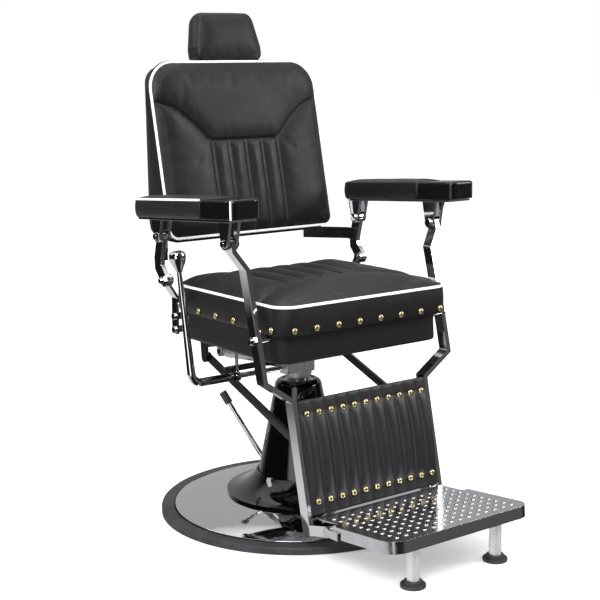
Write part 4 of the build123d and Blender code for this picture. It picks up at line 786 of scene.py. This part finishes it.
black_plastic = gloss_plastic("gloss_black_plastic", "#0b0b0c")
arm_drop, arm_length = 27, 421
arm_fall = arm_drop / arm_length
arm_slope = math.sqrt(1 + arm_fall ** 2)
arm_up = (0, arm_fall / arm_slope, 1 / arm_slope)
arm_along = (0, 1 / arm_slope, -arm_fall / arm_slope)
for name, side in (("left", -1), ("right", 1)):
    pad = "arm_pad_" + name
    low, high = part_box(pad)
    middle_y = (low.y + high.y) / 2
    underside = (776 - arm_drop * (middle_y / MM + 256) / arm_length) * MM
    rim = upholstered(
        pad, black_vinyl, ((high.x - low.x) / 2, (high.y - low.y) / 2 * arm_slope), (9 * MM, 16 * MM),
        (((low.x + high.x) / 2, middle_y, underside + 43.5 * MM), (1, 0, 0), arm_along, arm_up,
         (0, -arm_up[1], -arm_up[2])),
        lambda x, y: np.full(x.shape, 43.2 * MM), arm_height, belly=2.5, cap=2.5, pitch=2.4)
    outer = [p for p in rim if side * (p[0] - (low.x + high.x) / 2) > 0.02]
    outer = sorted(outer, key=lambda p: p[1])
    outer = [p for p in outer if p[1] > low.y + 2 * MM]
    welt_or_highlight("arm_welt_" + name, [p + np.array([side * 1.0 * MM, 0, 0]) for p in outer], 2.6, "arm_" + name,
         closed=False)
    eased("arm_cap_" + name, black_plastic, edge=1.4, sharp=30)
    cap_low, cap_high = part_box("arm_cap_" + name)
    corner_x = cap_low.x if side < 0 else cap_high.x
    # Painted highlight: a thin white cord down the cap's outer corner, in place of the gleam off its rounded
    # edge.
    painted_highlight_line = [(corner_x + side * -0.6 * MM, cap_low.y + 0.6 * MM, z)
                   for z in np.linspace(cap_high.z - 43 * MM, cap_high.z - 2 * MM, 4)]
    welt_or_highlight("arm_corner_painted_highlight_" + name, painted_highlight_line, 1.9, "arm_" + name, closed=False)

# ---------------------------------------------------------------- calf panel
# A vinyl panel rolled into eleven upright channels, held down by a row of nails across each end, on a
# plywood board between the two lower bars.

calf_half, calf_long, calf_pitch = 190, 262, 34.4
calf_lean = math.radians(11.96)
calf_up = (0, math.sin(calf_lean), math.cos(calf_lean))
calf_out = (0, -math.cos(calf_lean), math.sin(calf_lean))
calf_foot = Vector((0, -313 * MM, 97.3 * MM))
nail_heights = (31, 231)
nail_rows = [up_by - calf_long / 2 for up_by in nail_heights]


def calf_height(x, y, edge, fold):
    """Upright channels, fullest half way up and pinched flat round each nail."""
    off_middle = np.abs((x / (calf_pitch * MM) + 0.5) % 1.0 - 0.5)
    across_channel = off_middle * 2
    roll = np.sqrt(np.maximum(1 - across_channel ** 2 * 0.985, 0))
    between = np.clip(1 - (y / (100 * MM)) ** 2, 0, 1) ** 0.6
    puff = (2.4 + 7.6 * between) * MM * roll + 6.0 * MM * between
    for row in nail_rows:
        pinch = np.exp(-((off_middle * calf_pitch / 9) ** 2 + ((y / MM - row) / 8) ** 2))
        puff = puff * (1 - 0.4 * pinch)
    return puff * np.clip(edge / (7 * MM), 0, 1) ** 0.5


calf_middle = calf_foot + Vector(calf_up) * calf_long / 2 * MM + Vector(calf_out) * -1.5 * MM
upholstered("calf_pad", calf_vinyl_painted_lighter, (calf_half * MM, calf_long / 2 * MM), (8 * MM, 8 * MM),
            (tuple(calf_middle), (1, 0, 0), calf_up, calf_out,
             (0, math.cos(calf_lean), -math.sin(calf_lean))),
            lambda x, y: np.full(x.shape, 8.4 * MM), calf_height, belly=0.6, cap=0, pitch=2.3)

# ---------------------------------------------------------------- nails
# Antiqued brass nails with domed heads: bright where they have been rubbed, brown round the rim. One row
# goes round the seat, and two hold the calf panel's channels down.


def antique_brass(name, bright, patina, cover):
    """Brass with its brown patina rubbed off in patches."""
    made, tree, place = blank_material(name)
    stain = add_node(tree, "ShaderNodeTexNoise", Vector=place, Scale=320.0, Detail=3.0)
    tone = two_tones(tree, stain.outputs[0], 0.35, linear(patina), cover, linear(bright))
    shine = add_node(tree, "ShaderNodeBsdfPrincipled", Base_Color=tone, Metallic=0.9, Roughness=0.24)
    add_node(tree, "ShaderNodeOutputMaterial", Surface=shine.outputs[0])
    return made


brass = antique_brass("antique_brass", "#eadcae", "#b59a64", 0.6)
dark_brass = antique_brass("brass_patina", "#5c4118", "#33230c", 0.8)


def nail(tree, given):
    """A domed head on a slightly wider dark disc."""
    head = on_points(tree, given["Geometry"], dome(tree, given["Radius"], given["Height"], 20, 10), brass)
    disc = add_node(tree, "GeometryNodeMeshCylinder", Vertices=20, Radius=given["Rim"], Depth=0.0018)
    rim = on_points(tree, given["Geometry"], disc.outputs[0], dark_brass)
    both = tree.nodes.new("GeometryNodeJoinGeometry")
    tree.links.new(head, both.inputs[0])
    tree.links.new(rim, both.inputs[0])
    return both.outputs[0]


nail_z = 523 * MM
seat_places, seat_aims = [], []
for step in range(8):
    seat_places.append(((-216 + 61.714 * step) * MM, -285.4 * MM, nail_z))
    seat_aims.append((0, -1, 0))
for side in (-1, 1):
    for step in range(6):
        seat_places.append((side * 251.4 * MM, (-247 + 76 * step) * MM, nail_z))
        seat_aims.append((side, 0, 0))
calf_places = [calf_foot + Vector(calf_up) * up_by * MM + Vector(calf_out) * 1.8 * MM
               + Vector((column * calf_pitch * MM, 0, 0))
               for up_by in nail_heights for column in range(-5, 6)]
for node, places, aims in (("seat_nails", seat_places, seat_aims),
                           ("calf_nails", calf_places, [calf_out] * len(calf_places))):
    nails = scattered(node + "_finished", places, aims, nail, Radius=8.0 * MM, Height=5.6 * MM, Rim=8.9 * MM)
    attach(nails, node_body[node])
    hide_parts(node)

# ---------------------------------------------------------------- boards
# Birch plywood, left bare under the seat, and covered in black vinyl behind the back and the calf panel.
# A cushion's cover is pulled round its board, and the steelwork carries the board.


def plywood(name, pale, dark):
    """Sanded birch, with its grain running along X."""
    made, tree, place = blank_material(name)
    stretched = add_node(tree, "ShaderNodeMapping", Vector=place, Scale=(4.0, 60.0, 60.0))
    grain = add_node(tree, "ShaderNodeTexNoise", Vector=stretched.outputs[0], Scale=3.0, Detail=6.0,
                     Roughness=0.7)
    tone = two_tones(tree, grain.outputs[0], 0.3, linear(dark), 0.7, linear(pale))
    bump = add_node(tree, "ShaderNodeBump", Height=grain.outputs[0], Strength=0.15, Distance=0.0008)
    body = add_node(tree, "ShaderNodeBsdfPrincipled", Base_Color=tone, Roughness=0.58,
                    Normal=bump.outputs[0])
    add_node(tree, "ShaderNodeOutputMaterial", Surface=body.outputs[0])
    return made


birch = plywood("birch_plywood", "#cdb083", "#a98653")
backing = vinyl("black_backing_vinyl", "#151516", 2.6, 0.5, 0.62)
eased("seat_board", birch, edge=0.8)
eased("back_board", backing, edge=1.5)
eased("calf_board", backing, edge=1.2)
